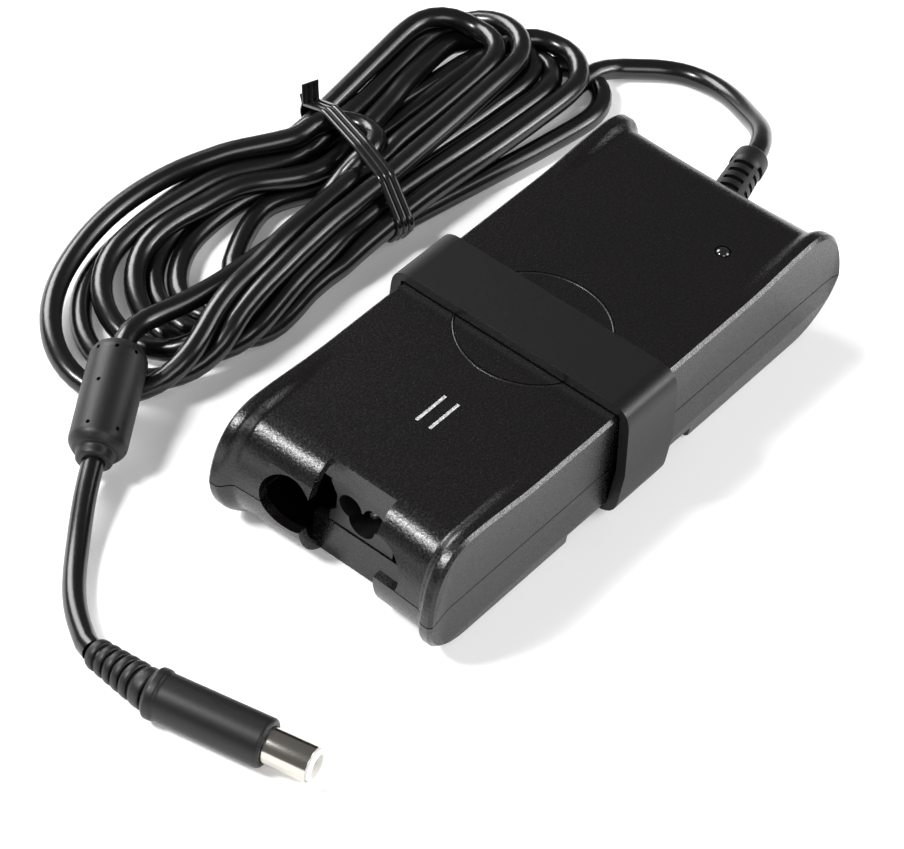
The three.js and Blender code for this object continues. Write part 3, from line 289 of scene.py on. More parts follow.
def spaced(line, step):
    """The same line with its points an even step apart."""
    along = np.concatenate([[0], np.cumsum(np.linalg.norm(np.diff(line, axis=0), axis=1))])
    places = np.linspace(0, along[-1], round(along[-1] / step) + 1)
    return np.column_stack([np.interp(places, along, line[:, i]) for i in range(3)])


STEP = 2.6 * MM
through_ferrite = [tuple(FERRITE_FROM.lerp(FERRITE_TO, share)) for share in (0.1, 0.5)]
route = smooth_line(
    CORD_TO_HANK + hank_points() + CORD_TO_FERRITE + through_ferrite + CORD_TO_PLUG, STEP,
)
print("route points:", len(route))

# %% [markdown]
# The turns are then let fall. In each round, every loose point sinks a little, shares its move
# with its neighbours as a stiff cord does, opens any bend that is too tight, and is pushed off
# the strands and the table that it has sunk into. The cord starts thin and grows to its full
# thickness, so that no strand is caught on the wrong side of another.

# %% The cord settles under its own weight
TIGHTEST = 10 * MM  # the smallest bend, about two diameters
FALL = 0.08 * MM  # how far the cord falls in a round
SHOVE = 0.3 * MM  # how far it is pushed aside in a round, at most
EASE = np.array([0.5, 0.5, 0.2])  # how much a stiff cord shares a push with its neighbours
SIDEWAYS = np.array([0.6, 0.6, 1])  # turns ride up on each other sooner than they slide apart
SPRING_BACK = 12  # last rounds, in which only the bends ease


def unkink(place, free, reach):
    """How far each point moves so that no bend is tighter than the cord allows."""
    away = place[reach:-reach] - (place[:-2 * reach] + place[2 * reach:]) / 2
    sag = np.maximum(np.linalg.norm(away, axis=1), 1e-9)
    allowed = (reach * STEP) ** 2 / (2 * TIGHTEST)
    fix = away * (np.clip(sag - allowed, 0, None) / sag)[:, None]
    move = np.zeros_like(place)
    move[reach:-reach] -= 0.4 * fix
    move[:-2 * reach] += 0.2 * fix
    move[2 * reach:] += 0.2 * fix
    return free * move


def settle(line, loose, rounds=320):
    """Lets the loose points of a line fall on the table and on each other, a diameter apart."""
    free = loose[:, None].astype(float)
    floor_rise = CORD / 2 + FLOOR - line[:, 2]
    moved = np.zeros_like(line)
    one, two = np.triu_indices(len(line), math.ceil(2.4 * CORD / STEP))
    for turn in range(rounds):
        thick = CORD * min(1, 0.3 + 0.8 * turn / (0.6 * rounds))
        if turn % 20 == 0:
            apart = np.linalg.norm((line + moved)[two] - (line + moved)[one], axis=1)
            watch = np.nonzero(apart < 3 * CORD)[0]
            a, b = one[watch], two[watch]
        moved[:, 2] -= free[:, 0] * FALL
        moved[:, :2] *= 0.98
        for reach in (1, 2, 4, 8):
            eased = moved.copy()
            eased[reach:-reach] = (moved[:-2 * reach] + moved[2 * reach:]) / 2
            moved += free * EASE * (eased - moved)
        for reach in (1, 2, 3, 4):
            moved += unkink(line + moved, free, reach)
        for _ in range(3):
            place = line + moved
            gap = place[b] - place[a]
            length = np.linalg.norm(gap, axis=1)
            near = np.nonzero(length < thick)[0]
            push = 0.35 * (thick - length[near]) / np.maximum(length[near], 1e-6)
            push = push[:, None] * gap[near]
            shove = np.zeros_like(place)
            np.add.at(shove, b[near], push)
            np.add.at(shove, a[near], -push)
            moved += free * SIDEWAYS * np.clip(shove, -SHOVE, SHOVE)
            moved[:, 2] = np.where(loose, np.maximum(moved[:, 2], floor_rise), moved[:, 2])
    for _ in range(SPRING_BACK):
        for reach in (1, 2, 3, 4):
            moved += unkink(line + moved, free, reach)
    moved[:, 2] = np.where(loose, np.maximum(moved[:, 2], floor_rise), moved[:, 2])
    return line + moved


def nearest(point):
    """The number of the route's point that lies nearest to a place."""
    return int(np.argmin(np.linalg.norm(route - np.array(point), axis=1)))


order = np.arange(len(route))
loose = (order > nearest(CORD_TO_HANK[7])) & (order < nearest(CORD_TO_FERRITE[-2]))
settled = settle(route, loose)
print("hank height, mm:", round(float(settled[:, 2].max() + CORD / 2) / MM, 1))

# %% [markdown]
# ## Finishes
#
# Nearly all of the adapter is black, so the finishes differ in gloss and grain more than in
# colour. Each tree starts with the piece's own Object coordinates, which are metres here, so a
# noise of scale 1/0.0005 has grains of half a millimetre. The same noise moves the roughness a
# little, because a moulded grain is never evenly shiny.

# %% Moulded and extruded plastics
def moulded(name, hex_text, rough, grain, height, ior=1.5, spread=0.08):
    """A plastic or rubber whose surface has grains of one size and one height, in metres."""
    material, tree, shader = finish_of(name, IOR=ior)
    place = add(tree, "ShaderNodeTexCoord").outputs["Object"]
    fine = add(tree, "ShaderNodeTexNoise", {"Vector": place, "Scale": 1 / grain, "Detail": 3.0,
                                            "Roughness": 0.6})
    broad = add(tree, "ShaderNodeTexNoise", {"Vector": place, "Scale": 1 / (40 * grain),
                                             "Detail": 2.0})
    tint = add(tree, "ShaderNodeValToRGB", {"Fac": broad.outputs["Fac"]})
    base = colour(hex_text)
    tint.color_ramp.elements[0].color = (*(0.8 * c for c in base[:3]), 1)
    tint.color_ramp.elements[1].color = (*(1.25 * c for c in base[:3]), 1)
    tree.links.new(tint.outputs["Color"], shader.inputs["Base Color"])
    gloss = add(tree, "ShaderNodeMapRange", {"Value": fine.outputs["Fac"], "From Min": 0.3,
                                             "From Max": 0.7, "To Min": rough - spread,
                                             "To Max": rough + spread})
    tree.links.new(gloss.outputs["Result"], shader.inputs["Roughness"])
    bump = add(tree, "ShaderNodeBump", {"Height": fine.outputs["Fac"], "Distance": height,
                                        "Strength": 1.0})
    tree.links.new(bump.outputs["Normal"], shader.inputs["Normal"])
    return material


# ABS from a spark-eroded mould: an even, slightly glossy grain that breaks a highlight into specks.
abs_grained = moulded("abs_spark_eroded", "090708", 0.27, 0.5 * MM, 0.07 * MM, ior=1.46)
# The same ABS, smooth where the mains inlet's tool was polished.
abs_smooth = moulded("abs_satin", "0c0b0c", 0.42, 0.4 * MM, 0.01 * MM)
# Thermoplastic rubber of the strap: no gloss, and a soft broad sheen.
strap_rubber = moulded("tpe_rubber_satin", "080607", 0.42, 0.25 * MM, 0.012 * MM, ior=1.42)
# Soft PVC, moulded over the cord at its ends and round the ferrite.
soft_pvc = moulded("soft_pvc_matte", "0b090a", 0.46, 0.3 * MM, 0.015 * MM, ior=1.42)
# The cord's extruded jacket: drawn smooth, so that a lamp shows as a thin bright line along it.
cord_pvc = moulded("soft_pvc_extruded", "090809", 0.25, 1.2 * MM, 0.002 * MM, spread=0.02)
# The tie's thin PVC skin over steel wire.
tie_pvc = moulded("pvc_wire_skin", "121213", 0.2, 0.6 * MM, 0.005 * MM, spread=0.04)
# The plug's nose: white PBT, slightly glossy from a polished mould.
white_pbt = moulded("white_pbt", "e9e8e3", 0.38, 0.4 * MM, 0.004 * MM, spread=0.03)
# The indicator's lens: dark polycarbonate, as glossy as glass.
led_lens_plastic = moulded("tinted_polycarbonate", "141516", 0.08, 2 * MM, 0.001 * MM, ior=1.58,
                           spread=0.01)
print("plastics:", len(bpy.data.materials))

# %% [markdown]
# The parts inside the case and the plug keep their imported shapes. Each takes its finish from the
# name of its slot, so the dictionary gives one finish for each slot.

# %% Metals and the hidden parts
def metal(name, hex_text, rough, grain=0.3 * MM):
    """A metal whose polish varies a little from place to place."""
    material, tree, shader = finish_of(name, Metallic=1.0)
    shader.inputs["Base Color"].default_value = colour(hex_text)
    place = add(tree, "ShaderNodeTexCoord").outputs["Object"]
    scratch = add(tree, "ShaderNodeTexNoise", {"Vector": place, "Scale": 1 / grain, "Detail": 4.0})
    gloss = add(tree, "ShaderNodeMapRange", {"Value": scratch.outputs["Fac"], "To Min": rough - 0.05,
                                             "To Max": rough + 0.08})
    tree.links.new(gloss.outputs["Result"], shader.inputs["Roughness"])
    return material


# Bright nickel plate on the plug's sleeve and the inlet's pins.
nickel = metal("nickel_plate", "c6c2ba", 0.16)
inside = {
    "case_plastic": abs_grained, "strap_rubber": strap_rubber, "soft_pvc": soft_pvc,
    "cord_pvc": cord_pvc, "inlet_plastic": abs_smooth, "nickel": nickel, "white_plastic": white_pbt,
    "lens": led_lens_plastic, "tie_pvc": tie_pvc,
    "label": moulded("label_film", "9a9a98", 0.5, 0.5 * MM, 0.002 * MM),
    "board": moulded("fr4_solder_mask", "2f5a36", 0.35, 0.5 * MM, 0.004 * MM),
    "steel": metal("rolled_steel", "a9abad", 0.35),
    "copper": metal("enamelled_copper", "a8622c", 0.3),
    "ferrite": moulded("sintered_ferrite", "3a3a3c", 0.6, 0.2 * MM, 0.01 * MM),
    "capacitor_sleeve": moulded("shrunk_pvc_sleeve", "20242c", 0.3, 1 * MM, 0.006 * MM),
    "film_yellow": moulded("polyester_tape", "c9a23a", 0.35, 1 * MM, 0.004 * MM),
    "ceramic_blue": moulded("dipped_epoxy", "3c63a0", 0.25, 1 * MM, 0.02 * MM),
    "epoxy": moulded("moulded_epoxy", "1a1a1c", 0.55, 0.2 * MM, 0.006 * MM),
    "clear_sheet": moulded("polyester_sheet", "d8d6cc", 0.3, 1 * MM, 0.002 * MM),
    "fuse_glass": moulded("soda_glass", "cfd4d2", 0.06, 2 * MM, 0.001 * MM),
}
print("finishes:", len(inside))

# %% [markdown]
# ## The cord and the floor
#
# The cord is one curve through its settled points, with a round section.

# %% The cord as one curve
line = bpy.data.curves.new("output_cord", "CURVE")
line.dimensions = "3D"
line.bevel_depth = CORD / 2
line.bevel_resolution = 6
line.use_fill_caps = True
spline = line.splines.new("POLY")
spline.points.add(len(settled) - 1)
spline.points.foreach_set("co", np.column_stack([settled, np.ones(len(settled))]).ravel())
spline.use_smooth = True
line.materials.append(cord_pvc)
output_cord = bpy.data.objects.new("output_cord", line)
bpy.context.collection.objects.link(output_cord)
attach(output_cord, "case")
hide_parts("cord_to_hank", "cord_hank", "cord_to_ferrite", "cord_in_ferrite",
            "cord_to_plug")
print("output_cord points:", len(spline.points))

# %% [markdown]
# The floor is white paper. It belongs to the stage and not to the part.

# %% Floor
REACH = 2  # half the floor's side, m
floor_mesh = bpy.data.meshes.new("floor")
corners = [(x * REACH, y * REACH, 0) for x, y in ((-1, -1), (1, -1), (1, 1), (-1, 1))]
floor_mesh.from_pydata(corners, [], [(0, 1, 2, 3)])
floor = bpy.data.objects.new("floor", floor_mesh)
bpy.context.collection.objects.link(floor)
# White paper on a lit table: its own faint light keeps the shadows soft.
paper, tree, shader = finish_of("white_paper", Roughness=0.8, Emission_Strength=0.16)
for socket in ("Base Color", "Emission Color"):
    shader.inputs[socket].default_value = colour("f4f4f4")
floor_mesh.materials.append(paper)
print("floor, m:", 2 * REACH)

# %% [markdown]
# ## The shells, the strap and the inlet
#
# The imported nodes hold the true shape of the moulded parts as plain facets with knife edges. A
# moulding has small round edges, which catch a thin line of light. Each of these pieces is made
# from a merged copy of its node, with its flat facets joined, its curved faces shaded smooth and
# a narrow bevel run along every edge.

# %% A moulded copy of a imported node
BEND = math.radians(30)  # faces that meet at less than this are one curved face


def moulded_copy(node, name, material, edge, body="case"):
    """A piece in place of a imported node, with edges rounded to a width."""
    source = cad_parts[node]
    build = bmesh.new()
    build.from_mesh(source.data)
    bmesh.ops.remove_doubles(build, verts=build.verts, dist=0.002 * MM)
    bmesh.ops.dissolve_limit(build, angle_limit=math.radians(0.5), verts=build.verts,
                             edges=build.edges)
    mesh = bpy.data.meshes.new(name)
    build.to_mesh(mesh)
    build.free()
    mesh.materials.clear()
    mesh.materials.append(material)
    piece = placed(mesh, name, math.degrees(BEND))
    bevel = piece.modifiers.new("round_edges", "BEVEL")
    bevel.width, bevel.segments = edge, 2
    bevel.limit_method, bevel.angle_limit = "ANGLE", BEND
    flats = piece.modifiers.new("flat_faces_stay_flat", "WEIGHTED_NORMAL")
    flats.keep_sharp = True
    flats.weight = 80
    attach(piece, body)
    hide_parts(node)
    print(name, "faces:", len(mesh.polygons))


moulded_copy("upper_shell", "case_upper_shell", abs_grained, 0.25 * MM)
moulded_copy("lower_shell", "case_lower_shell", abs_grained, 0.25 * MM)
moulded_copy("cord_strap", "rubber_strap", strap_rubber, 0.35 * MM, body="strap")
moulded_copy("inlet_housing", "mains_inlet", abs_smooth, 0.2 * MM)

# %% [markdown]
# ## Round pieces
#
# The ferrite's cover, the plug, the strain reliefs and the indicator's lens are round, so each is
# an outline spun about an axis. The outline's corners are rounded first, since soft PVC leaves
# its mould with no sharp edge. A piece is made along X, in millimetres, and its mesh is then
# carried to its place.

# %% An outline spun about X
def eased(outline, radius=0.5, steps=4):
    """The outline with its corners rounded, except at its two ends."""
    out = [outline[0]]
    for before, corner, after in zip(outline, outline[1:], outline[2:]):
        corner, arms = np.array(corner), []
        for other in (before, after):
            arm = np.array(other) - corner
            arms.append(corner + arm * min(radius / np.linalg.norm(arm), 0.45))
        for t in np.linspace(0, 1, steps):
            out.append(tuple((1 - t) ** 2 * arms[0] + 2 * t * (1 - t) * corner + t ** 2 * arms[1]))
    return [*out, outline[-1]]


def spun(name, outline, material, place, closed=False, around=72):
    """A mesh of an outline of (along, radius) pairs in mm, spun about X and carried to a place."""
    build = bmesh.new()
    rings = []
    angles = np.linspace(0, 2 * math.pi, around, endpoint=False)
    for along, radius in outline:
        ring = [(along, radius * math.cos(a), radius * math.sin(a)) for a in angles]
        rings.append([build.verts.new(point) for point in ring])
    for ring, after in zip(rings, rings[1:] + rings[:1] if closed else rings[1:]):
        for i in range(around):
            j = (i + 1) % around
            build.faces.new((ring[i], ring[j], after[j], after[i]))
    bmesh.ops.remove_doubles(build, verts=build.verts, dist=0.0001)
    bmesh.ops.recalc_face_normals(build, faces=build.faces)
    mesh = bpy.data.meshes.new(name)
    build.to_mesh(mesh)
    build.free()
    mesh.transform(place @ Matrix.Scale(MM, 4))
    mesh.materials.append(material)
    return mesh


def aimed(start, end):
    """A placement at a start, with X towards an end and Z as nearly up as it can be."""
    x = (Vector(end) - Vector(start)).normalized()
    y = Vector((0, 0, 1)).cross(x).normalized()
    turn = Matrix((x, y, x.cross(y))).transposed().to_4x4()
    return Matrix.Translation(start) @ turn


def fitted(mesh, name, node, slot, sharp_degrees=35):
    """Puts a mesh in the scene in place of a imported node."""
    piece = placed(mesh, name, sharp_degrees)
    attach(piece, "case")
    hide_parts(node)
    print(name, "faces:", len(mesh.polygons))
    return piece


print("round tools:", [tool.__name__ for tool in (eased, spun, aimed, fitted)])

# %% [markdown]
# ### Rows
#
# The ribs and slots of the strain reliefs, and the ridges of two marks on the top, are rows of
# one element. One Geometry Nodes tree makes them all. Its result is baked into a mesh at once.

# %% A row of one element, by Geometry Nodes
def new_row_tree():
    """A tree that copies a mesh in a row along X, the last at its own size, and its input ids."""
    tree = bpy.data.node_groups.new("row_along_x", "GeometryNodeTree")
    ids = {}
    for label, kind in (("Element", "NodeSocketGeometry"), ("Count", "NodeSocketInt"),
                        ("Start", "NodeSocketFloat"), ("Pitch", "NodeSocketFloat"),
                        ("Last Size", "NodeSocketFloat"), ("Material", "NodeSocketMaterial")):
        ids[label] = tree.interface.new_socket(label, in_out="INPUT", socket_type=kind).identifier
    tree.interface.new_socket("Row", in_out="OUTPUT", socket_type="NodeSocketGeometry")
    given = add(tree, "NodeGroupInput").outputs
    start = add(tree, "ShaderNodeCombineXYZ", {"X": given["Start"]})
    offset = add(tree, "ShaderNodeCombineXYZ", {"X": given["Pitch"]})
    places = add(tree, "GeometryNodeMeshLine", {"Count": given["Count"], "Offset": offset.outputs[0],
                                                "Start Location": start.outputs[0]})
    last = add(tree, "ShaderNodeMath", {0: given["Count"], 1: 1.0}, operation="SUBTRACT")
    index = add(tree, "GeometryNodeInputIndex")
    size = add(tree, "ShaderNodeMapRange", {"Value": index.outputs[0], "From Max": last.outputs[0],
                                            "To Min": 1.0, "To Max": given["Last Size"]})
    copies = add(tree, "GeometryNodeInstanceOnPoints", {"Points": places.outputs[0],
                                                        "Instance": given["Element"],
                                                        "Scale": size.outputs["Result"]})
    solid = add(tree, "GeometryNodeRealizeInstances", {"Geometry": copies.outputs[0]})
    skin = add(tree, "GeometryNodeSetMaterial", {"Geometry": solid.outputs[0],
                                                 "Material": given["Material"]})
    add(tree, "NodeGroupOutput", {"Row": skin.outputs[0]})
    return tree, ids


row_tree, row_ids = new_row_tree()
print("row inputs:", list(row_ids))

# %% [markdown]
# A cut is a Boolean that is baked in the same way, and boxes are joined into one mesh to cut
# with.

# %% Rows, cuts and joins, each baked into a mesh
def baked(mesh, kind, **settings):
    """The mesh that one modifier makes of a mesh."""
    work = bpy.data.objects.new("work", mesh)
    bpy.context.collection.objects.link(work)
    modifier = work.modifiers.new("step", kind)
    for key, value in settings.items():
        if kind == "NODES" and key != "node_group":
            modifier[row_ids[key.replace("_", " ")]] = value
        else:
            setattr(modifier, key, value)
    bpy.context.view_layer.update()
    made = bpy.data.meshes.new_from_object(work.evaluated_get(bpy.context.evaluated_depsgraph_get()))
    bpy.data.objects.remove(work)
    return made


def row(element, count, start, pitch, last_size, material):
    """A row of an element along X."""
    return baked(element, "NODES", node_group=row_tree, Count=count, Start=start, Pitch=pitch,
                 Last_Size=last_size, Material=material)


def cut_from(mesh, tool_mesh):
    """A mesh less another one."""
    tool = bpy.data.objects.new("tool", tool_mesh)
    bpy.context.collection.objects.link(tool)
    rest = baked(mesh, "BOOLEAN", operation="DIFFERENCE", solver="EXACT", object=tool)
    bpy.data.objects.remove(tool)
    return rest


def box_mesh(name, boxes):
    """One mesh of boxes, each a middle and three sizes in mm."""
    build = bmesh.new()
    for middle, size in boxes:
        put = Matrix.Translation(middle) @ Matrix.Diagonal((*size, 1))
        bmesh.ops.create_cube(build, size=1, matrix=put)
    mesh = bpy.data.meshes.new(name)
    build.to_mesh(mesh)
    build.free()
    mesh.transform(Matrix.Scale(MM, 4))
    return mesh


def together(name, meshes, place):
    """One mesh of several, carried to a place."""
    build = bmesh.new()
    for mesh in meshes:
        build.from_mesh(mesh)
    whole = bpy.data.meshes.new(name)
    build.to_mesh(whole)
    build.free()
    whole.transform(place)
    whole.materials.append(meshes[0].materials[0])
    return whole


print("mesh tools:", [tool.__name__ for tool in (baked, row, cut_from, box_mesh, together)])

# %% [markdown]
# ### Strain reliefs
#
# At the case, the relief is a cone with rows of short slots on its four sides, and rails between
# the rows. At the plug, it is a row of ribs round a thinner core.

# %% Strain reliefs
GLAND = 23  # length outside the case, mm
WIDE, LONG, DEEP = 1.2, 4.6, 2.6  # of a slot
GLAND_ROOT = (0.06115, 0, 0.015)
GLAND_TURN = math.radians(14)
CORE = 3.6  # from the axis to the middle of a slot's depth
gland_place = Matrix.Translation(GLAND_ROOT) @ Matrix.Rotation(GLAND_TURN, 4, "Z")
cone = spun("relief_cone", eased([
    (-3.6, 0), (-3.6, 3.3), (0.8, 3.3), (1.5, 4.4), (17.6, 3.75), (18.6, 4.05),
    (GLAND - 0.5, 3.9), (GLAND, 2.5),
], 0.7), soft_pvc, Matrix.Identity(4))
PITCH = 2.9  # of the slots
four_slots = [((0, 0, side * CORE), (WIDE, LONG, DEEP)) for side in (-1, 1)]
four_slots += [((PITCH / 2, side * CORE, 0), (WIDE, DEEP, LONG)) for side in (-1, 1)]
slots = row(box_mesh("slots", four_slots), 5, 4.8 * MM, PITCH * MM, 1.0, soft_pvc)
gland_mesh = cut_from(cone, slots)
gland_mesh.transform(gland_place)
gland = fitted(gland_mesh, "case_cord_relief", "cord_gland", "soft_pvc")
rounding = gland.modifiers.new("round_edges", "BEVEL")
rounding.width, rounding.segments, rounding.limit_method = 0.18 * MM, 2, "ANGLE"
rounding.angle_limit = math.radians(40)

RELIEF = 13.5  # length, mm
RELIEF_FROM = Vector((-110.2, 19.8, 3.6)) * MM
PLUG_FROM = Vector((-111.2, 4.6, 5.5)) * MM
rib = spun("rib", eased([(-0.8, 2.2), (-0.8, 3.3), (0.8, 3.3), (0.8, 2.2)], 0.5), soft_pvc,
           Matrix.Identity(4))
core = spun("core", eased([
    (0, 2.41), (0, 3.1), (1.6, 3.2), (2.2, 2.6), (12.4, 3.3), (RELIEF, 4.3),
    (RELIEF + 2.6, 4.3), (RELIEF + 2.6, 0),
], 0.5), soft_pvc, Matrix.Identity(4))
ribs = row(rib, 5, 1.3 * MM, 2.5 * MM, 1.24, soft_pvc)
relief = fitted(together("plug_cord_relief", [core, ribs], aimed(RELIEF_FROM, PLUG_FROM)),
                "plug_cord_relief", "plug_strain_relief", "soft_pvc")

# %% [markdown]
# ### Ferrite cover
#
# The cover is moulded over the ferrite, with a collar towards the plug. Small holes are left in
# it by the mould's pins, which hold the ferrite off the wall.

# %% Ferrite cover
outer = eased([
    (0, 2.6), (0, 3.1), (1, 5.2), (3, 6.2), (24.2, 6.2), (26, 4.9), (26, 4.1), (28, 3.9),
    (28.4, 3.3), (28.4, 2.6),
], 0.8, 6)
chamber = [(28.4, 2.5), (23.6, 2.5), (23.6, 5.1), (2.4, 5.1), (2.4, 2.5), (0, 2.5)]
cover_mesh = spun("ferrite_jacket", outer + chamber, soft_pvc, Matrix.Identity(4), closed=True)
# Along the cover in mm, and round it in degrees.
PIN_HOLES = [(3.6, 40 * k) for k in range(9)] + [(12, 20 + 120 * k) for k in range(3)]
PIN_HOLES += [(22.4, 20 + 60 * k) for k in range(6)]
pins = bmesh.new()
for along_mm, turn in PIN_HOLES:
    put = Matrix.Rotation(math.radians(turn), 4, "X") @ Matrix.Translation((along_mm, 0, 6.2))
    bmesh.ops.create_cone(pins, cap_ends=True, segments=16, radius1=0.42, radius2=0.5, depth=1.6,
                          matrix=put)
pin_mesh = bpy.data.meshes.new("pins")
pins.to_mesh(pin_mesh)
pins.free()
pin_mesh.transform(Matrix.Scale(MM, 4))
cover_mesh = cut_from(cover_mesh, pin_mesh)
cover_mesh.transform(aimed(FERRITE_FROM, FERRITE_TO))
ferrite_jacket = fitted(cover_mesh, "ferrite_jacket", "ferrite_cover", "soft_pvc")

# %% [markdown]
# ### Plug
#
# The plug is a soft grip with a collar at its back, a thin nickel sleeve, and a white nose with a
# hole.

# %% Plug
plug_place = aimed(PLUG_FROM, Vector((-106, -19.6, 5.5)) * MM)
BODY, BARREL = 26, 9.6  # lengths, mm
grip = fitted(spun("plug_grip", eased([
    (0, 0), (0, 4.3), (1, 5.35), (2.6, 5.35), (3.1, 5), (BODY - 0.6, 5.15), (BODY, 4.7),
    (BODY, 3.76), (BODY - 8.1, 3.76), (BODY - 8.1, 0),
], 0.35, 5), soft_pvc, plug_place), "plug_grip", "plug_body", "soft_pvc")
shell = fitted(spun("plug_outer_sleeve", eased([
    (BODY - 8, 3.35), (BODY - 8, 3.7), (BODY + BARREL, 3.7), (BODY + BARREL, 3.35), (BODY - 8, 3.35),
], 0.15)[:-1], nickel, plug_place, closed=True), "plug_outer_sleeve", "plug_barrel", "nickel", 60)
nose = fitted(spun("plug_nose", eased([
    (BODY - 7.9, 0), (BODY - 7.9, 3.3), (BODY + BARREL + 0.1, 3.3), (BODY + BARREL + 0.9, 3),
    (BODY + BARREL + 0.9, 2.6), (BODY + BARREL - 1, 2.5), (BODY - 5.9, 2.5), (BODY - 5.9, 0),
], 0.2), white_pbt, plug_place), "plug_nose", "plug_insulator", "white_plastic")

# %% [markdown]
# ### Indicator lens
#
# The lens has a flange under the case's skin and a low dome above it.

# %% Indicator lens
DOME, DOME_RADIUS, DOME_ANGLE = 0.7, 1.5, 1.2  # mm, and radians from its top to its rim
UPRIGHT = Matrix.Rotation(-math.pi / 2, 4, "Y")  # turns what was made along X to stand along Z
low, high = (np.array(corner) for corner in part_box("led_lens"))
tall = (high[2] - low[2]) / MM
lens_place = Matrix.Translation((*((low + high) / 2)[:2], low[2])) @ UPRIGHT
dome = [(tall - DOME * (1 - math.cos(a)) / (1 - math.cos(DOME_ANGLE)),
         DOME_RADIUS * math.sin(a) / math.sin(DOME_ANGLE)) for a in np.linspace(DOME_ANGLE, 0, 9)]
lens_mesh = spun("indicator_lens", [(0, 0), (0, 2.3), (0.9, 2.3), (1, DOME_RADIUS), *dome],
                 led_lens_plastic, lens_place)
fitted(lens_mesh, "indicator_lens", "led_lens", "lens")

# %% [markdown]
# ### Marks on the top
#
# A bead lies in the ring's groove, and each of the two bars is a row of small ridges. Both are
# smoother than the grained top, and so they catch thin bright lines from the lamps.

# %% Ring bead and ridged bars
RING_X, RING_RADIUS = -2.5, 16.4  # mm
BARS = [(-38.6, 0.8), (-38.6, -2.6)]  # where each bar's row starts, mm
GROOVE_Z = CASE_TOP / MM - 0.35
# The same ABS, from a finer part of the mould.
abs_polished = moulded("abs_polished", "0b0a0b", 0.34, 0.3 * MM, 0.02 * MM, spread=0.1)
bead = [(0.3 * math.sin(a), RING_RADIUS + 0.33 * math.cos(a)) for a in np.linspace(0, math.pi, 9)]
ring_place = Matrix.Translation(Vector((RING_X, 0, GROOVE_Z)) * MM) @ UPRIGHT
bead_mesh = spun("ring_bead", bead, abs_polished, ring_place, closed=True, around=160)
ring_bead = placed(bead_mesh, "ring_bead", 50)
ridge = bpy.data.meshes.new("ridge")
profile = ((0, 0), (0.46, 0), (0.38, 0.28))
ridge.from_pydata([(x * MM, y * MM, z * MM) for y in (-0.4, 0.4) for x, z in profile], [],
                  [(0, 1, 2), (5, 4, 3), (0, 3, 4, 1), (1, 4, 5, 2), (2, 5, 3, 0)])
ridge.materials.append(abs_polished)
one_bar = row(ridge, 19, 0, 0.48 * MM, 1.0, abs_polished)
build = bmesh.new()
for x, y in BARS:
    build.from_mesh(one_bar)
    newest = build.verts[-len(one_bar.vertices):]
    bmesh.ops.translate(build, verts=newest, vec=Vector((x, y, GROOVE_Z)) * MM)
bars_mesh = bpy.data.meshes.new("bar_ridges")
build.to_mesh(bars_mesh)
build.free()
bars_mesh.materials.append(abs_polished)
bar_ridges = placed(bars_mesh, "bar_ridges", 30)
for mark in (ring_bead, bar_ridges):
    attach(mark, "case")
    print(mark.name, "faces:", len(mark.data.polygons))

# %% [markdown]
# ## The tie
#
# The tie is a flat strip of PVC with wires in it, pulled tight round the waist of the hank. Its
# path is the shape a stretched band takes: the hull of all the strands that cross its plane. Its
# two ends meet at the far side, and one stands up. Its section has three rounded ridges over the
# wires.

# %% The tie's path
TIE_MIDDLE = np.array([27, 70]) * MM
TIE_SLANT = 0.36  # how far it runs along X for each step along Y
RIDGE = 0.62 * MM  # thickness of the strip at its ridges
HALF_RIDGE = 0.72  # half the width of a ridge, mm
across = np.array([TIE_SLANT, 1]) / math.hypot(TIE_SLANT, 1)
forward = np.array([across[1], -across[0]])


def right_turn(a, b, c):
    """Whether a path from a through b to c turns right or goes straight on."""
    return (b[0] - a[0]) * (c[1] - b[1]) - (b[1] - a[1]) * (c[0] - b[0]) <= 0


def band_round(line, reach, spread):
    """The hull of the strands near the tie's plane, counter-clockwise, as (across, height) pairs."""
    flat = line[:, :2] - TIE_MIDDLE
    near = line[np.abs(flat @ forward) < spread]
    angles = np.linspace(0, 2 * math.pi, 24, endpoint=False)
    dots = [(float((p[:2] - TIE_MIDDLE) @ across) + reach * math.cos(a),
             max(p[2] + reach * math.sin(a), FLOOR + RIDGE)) for p in near for a in angles]
    hull = []
    for dots_in_order in (sorted(dots), sorted(dots, reverse=True)):
        chain = []
        for dot in dots_in_order:
            while len(chain) > 1 and right_turn(*chain[-2:], dot):
                chain.pop()
            chain.append(dot)
        hull += chain[:-1]
    return np.array(hull)


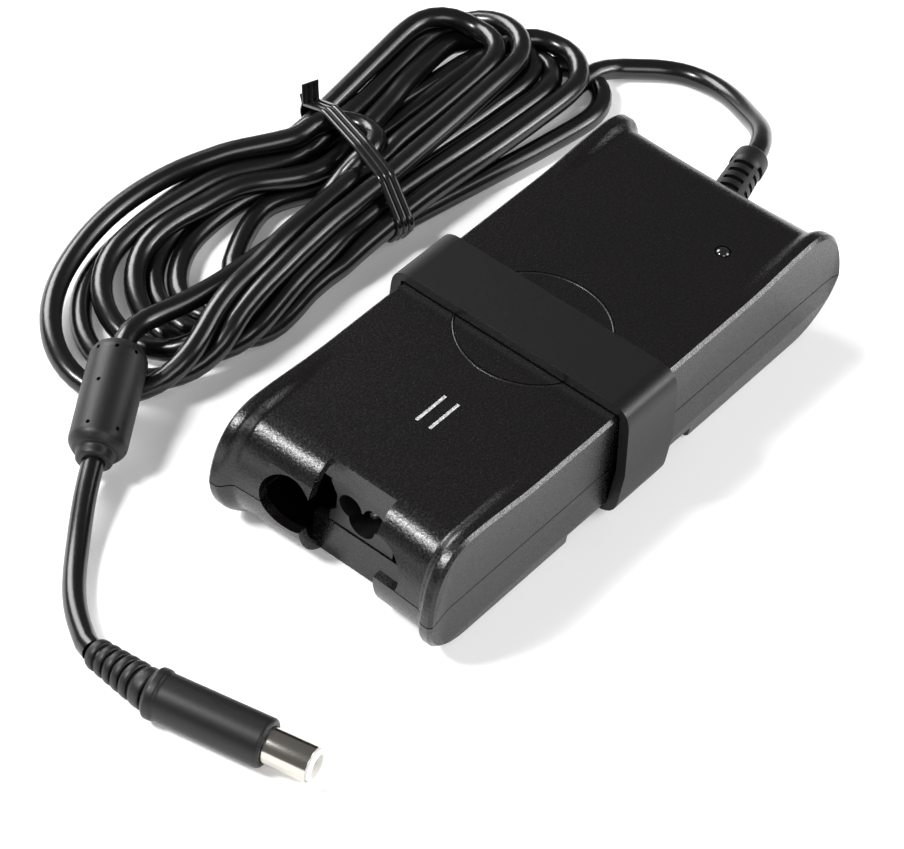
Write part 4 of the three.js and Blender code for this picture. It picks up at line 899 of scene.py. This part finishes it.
hull = band_round(settled[loose], CORD / 2, 3.2 * MM)
far_top = int(np.argmax(hull @ (1, 1)))
loop = np.vstack([np.roll(hull, -far_top, axis=0), hull[far_top]])
corner = loop[0]
path = np.vstack([corner + [(0.9 * MM, 5.5 * MM), (0.6 * MM, 3 * MM), (0.2 * MM, 1 * MM)], loop,
                  corner + [(0.4 * MM, 1.2 * MM), (1.3 * MM, 2.4 * MM)]])
path = spaced(np.column_stack([path, np.zeros(len(path))]), 0.5 * MM)[:, :2]
for _ in range(2):
    path[1:-1] = (path[:-2] + 2 * path[1:-1] + path[2:]) / 4
print("tie, mm long:", round(len(path) * 0.5))

# %% [markdown]
# The strip's section is carried along that path, with its flat side to the strands.

# %% The tie's strip along its path
# The section: three ridges outside, flat inside.
ridges = [(width, 0.2 + 0.42 * math.sqrt(max(0, 1 - ((width - middle) / HALF_RIDGE) ** 2)))
          for middle in (-2 * HALF_RIDGE, 0, 2 * HALF_RIDGE)
          for width in np.linspace(middle - HALF_RIDGE, middle + HALF_RIDGE, 9)]
section = np.array(ridges + [(2.1, 0), (-2.1, 0)]) * MM
heading = np.gradient(path, axis=0)
heading /= np.linalg.norm(heading, axis=1)[:, None]
outside = np.column_stack([heading[:, 1], -heading[:, 0]])
points, faces = [], []
for spot, out in zip(path, outside):
    for width, height in section:
        u, z = spot + height * out
        x, y = TIE_MIDDLE + u * across + width * forward
        points.append((x, y, z))
count = len(section)
for i in range(len(path) - 1):
    for j in range(count):
        k = (j + 1) % count
        faces.append((i * count + j, i * count + k, (i + 1) * count + k, (i + 1) * count + j))
faces += [tuple(range(count)), tuple(reversed(range(len(points) - count, len(points))))]
tie_mesh = bpy.data.meshes.new("wire_tie")
tie_mesh.from_pydata(points, [], faces)
tie_mesh.materials.append(tie_pvc)
tie = placed(tie_mesh, "wire_tie", 70)
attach(tie, "case")
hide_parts("twist_tie")
print("wire_tie faces:", len(tie_mesh.polygons))

# %% [markdown]
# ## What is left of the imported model
#
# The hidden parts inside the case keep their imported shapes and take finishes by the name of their
# slot.

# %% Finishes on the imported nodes
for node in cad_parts.values():
    for slot in node.material_slots:
        slot.material = inside[slot.material.name.split(".")[0]]
print("packed nodes:", len(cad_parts))
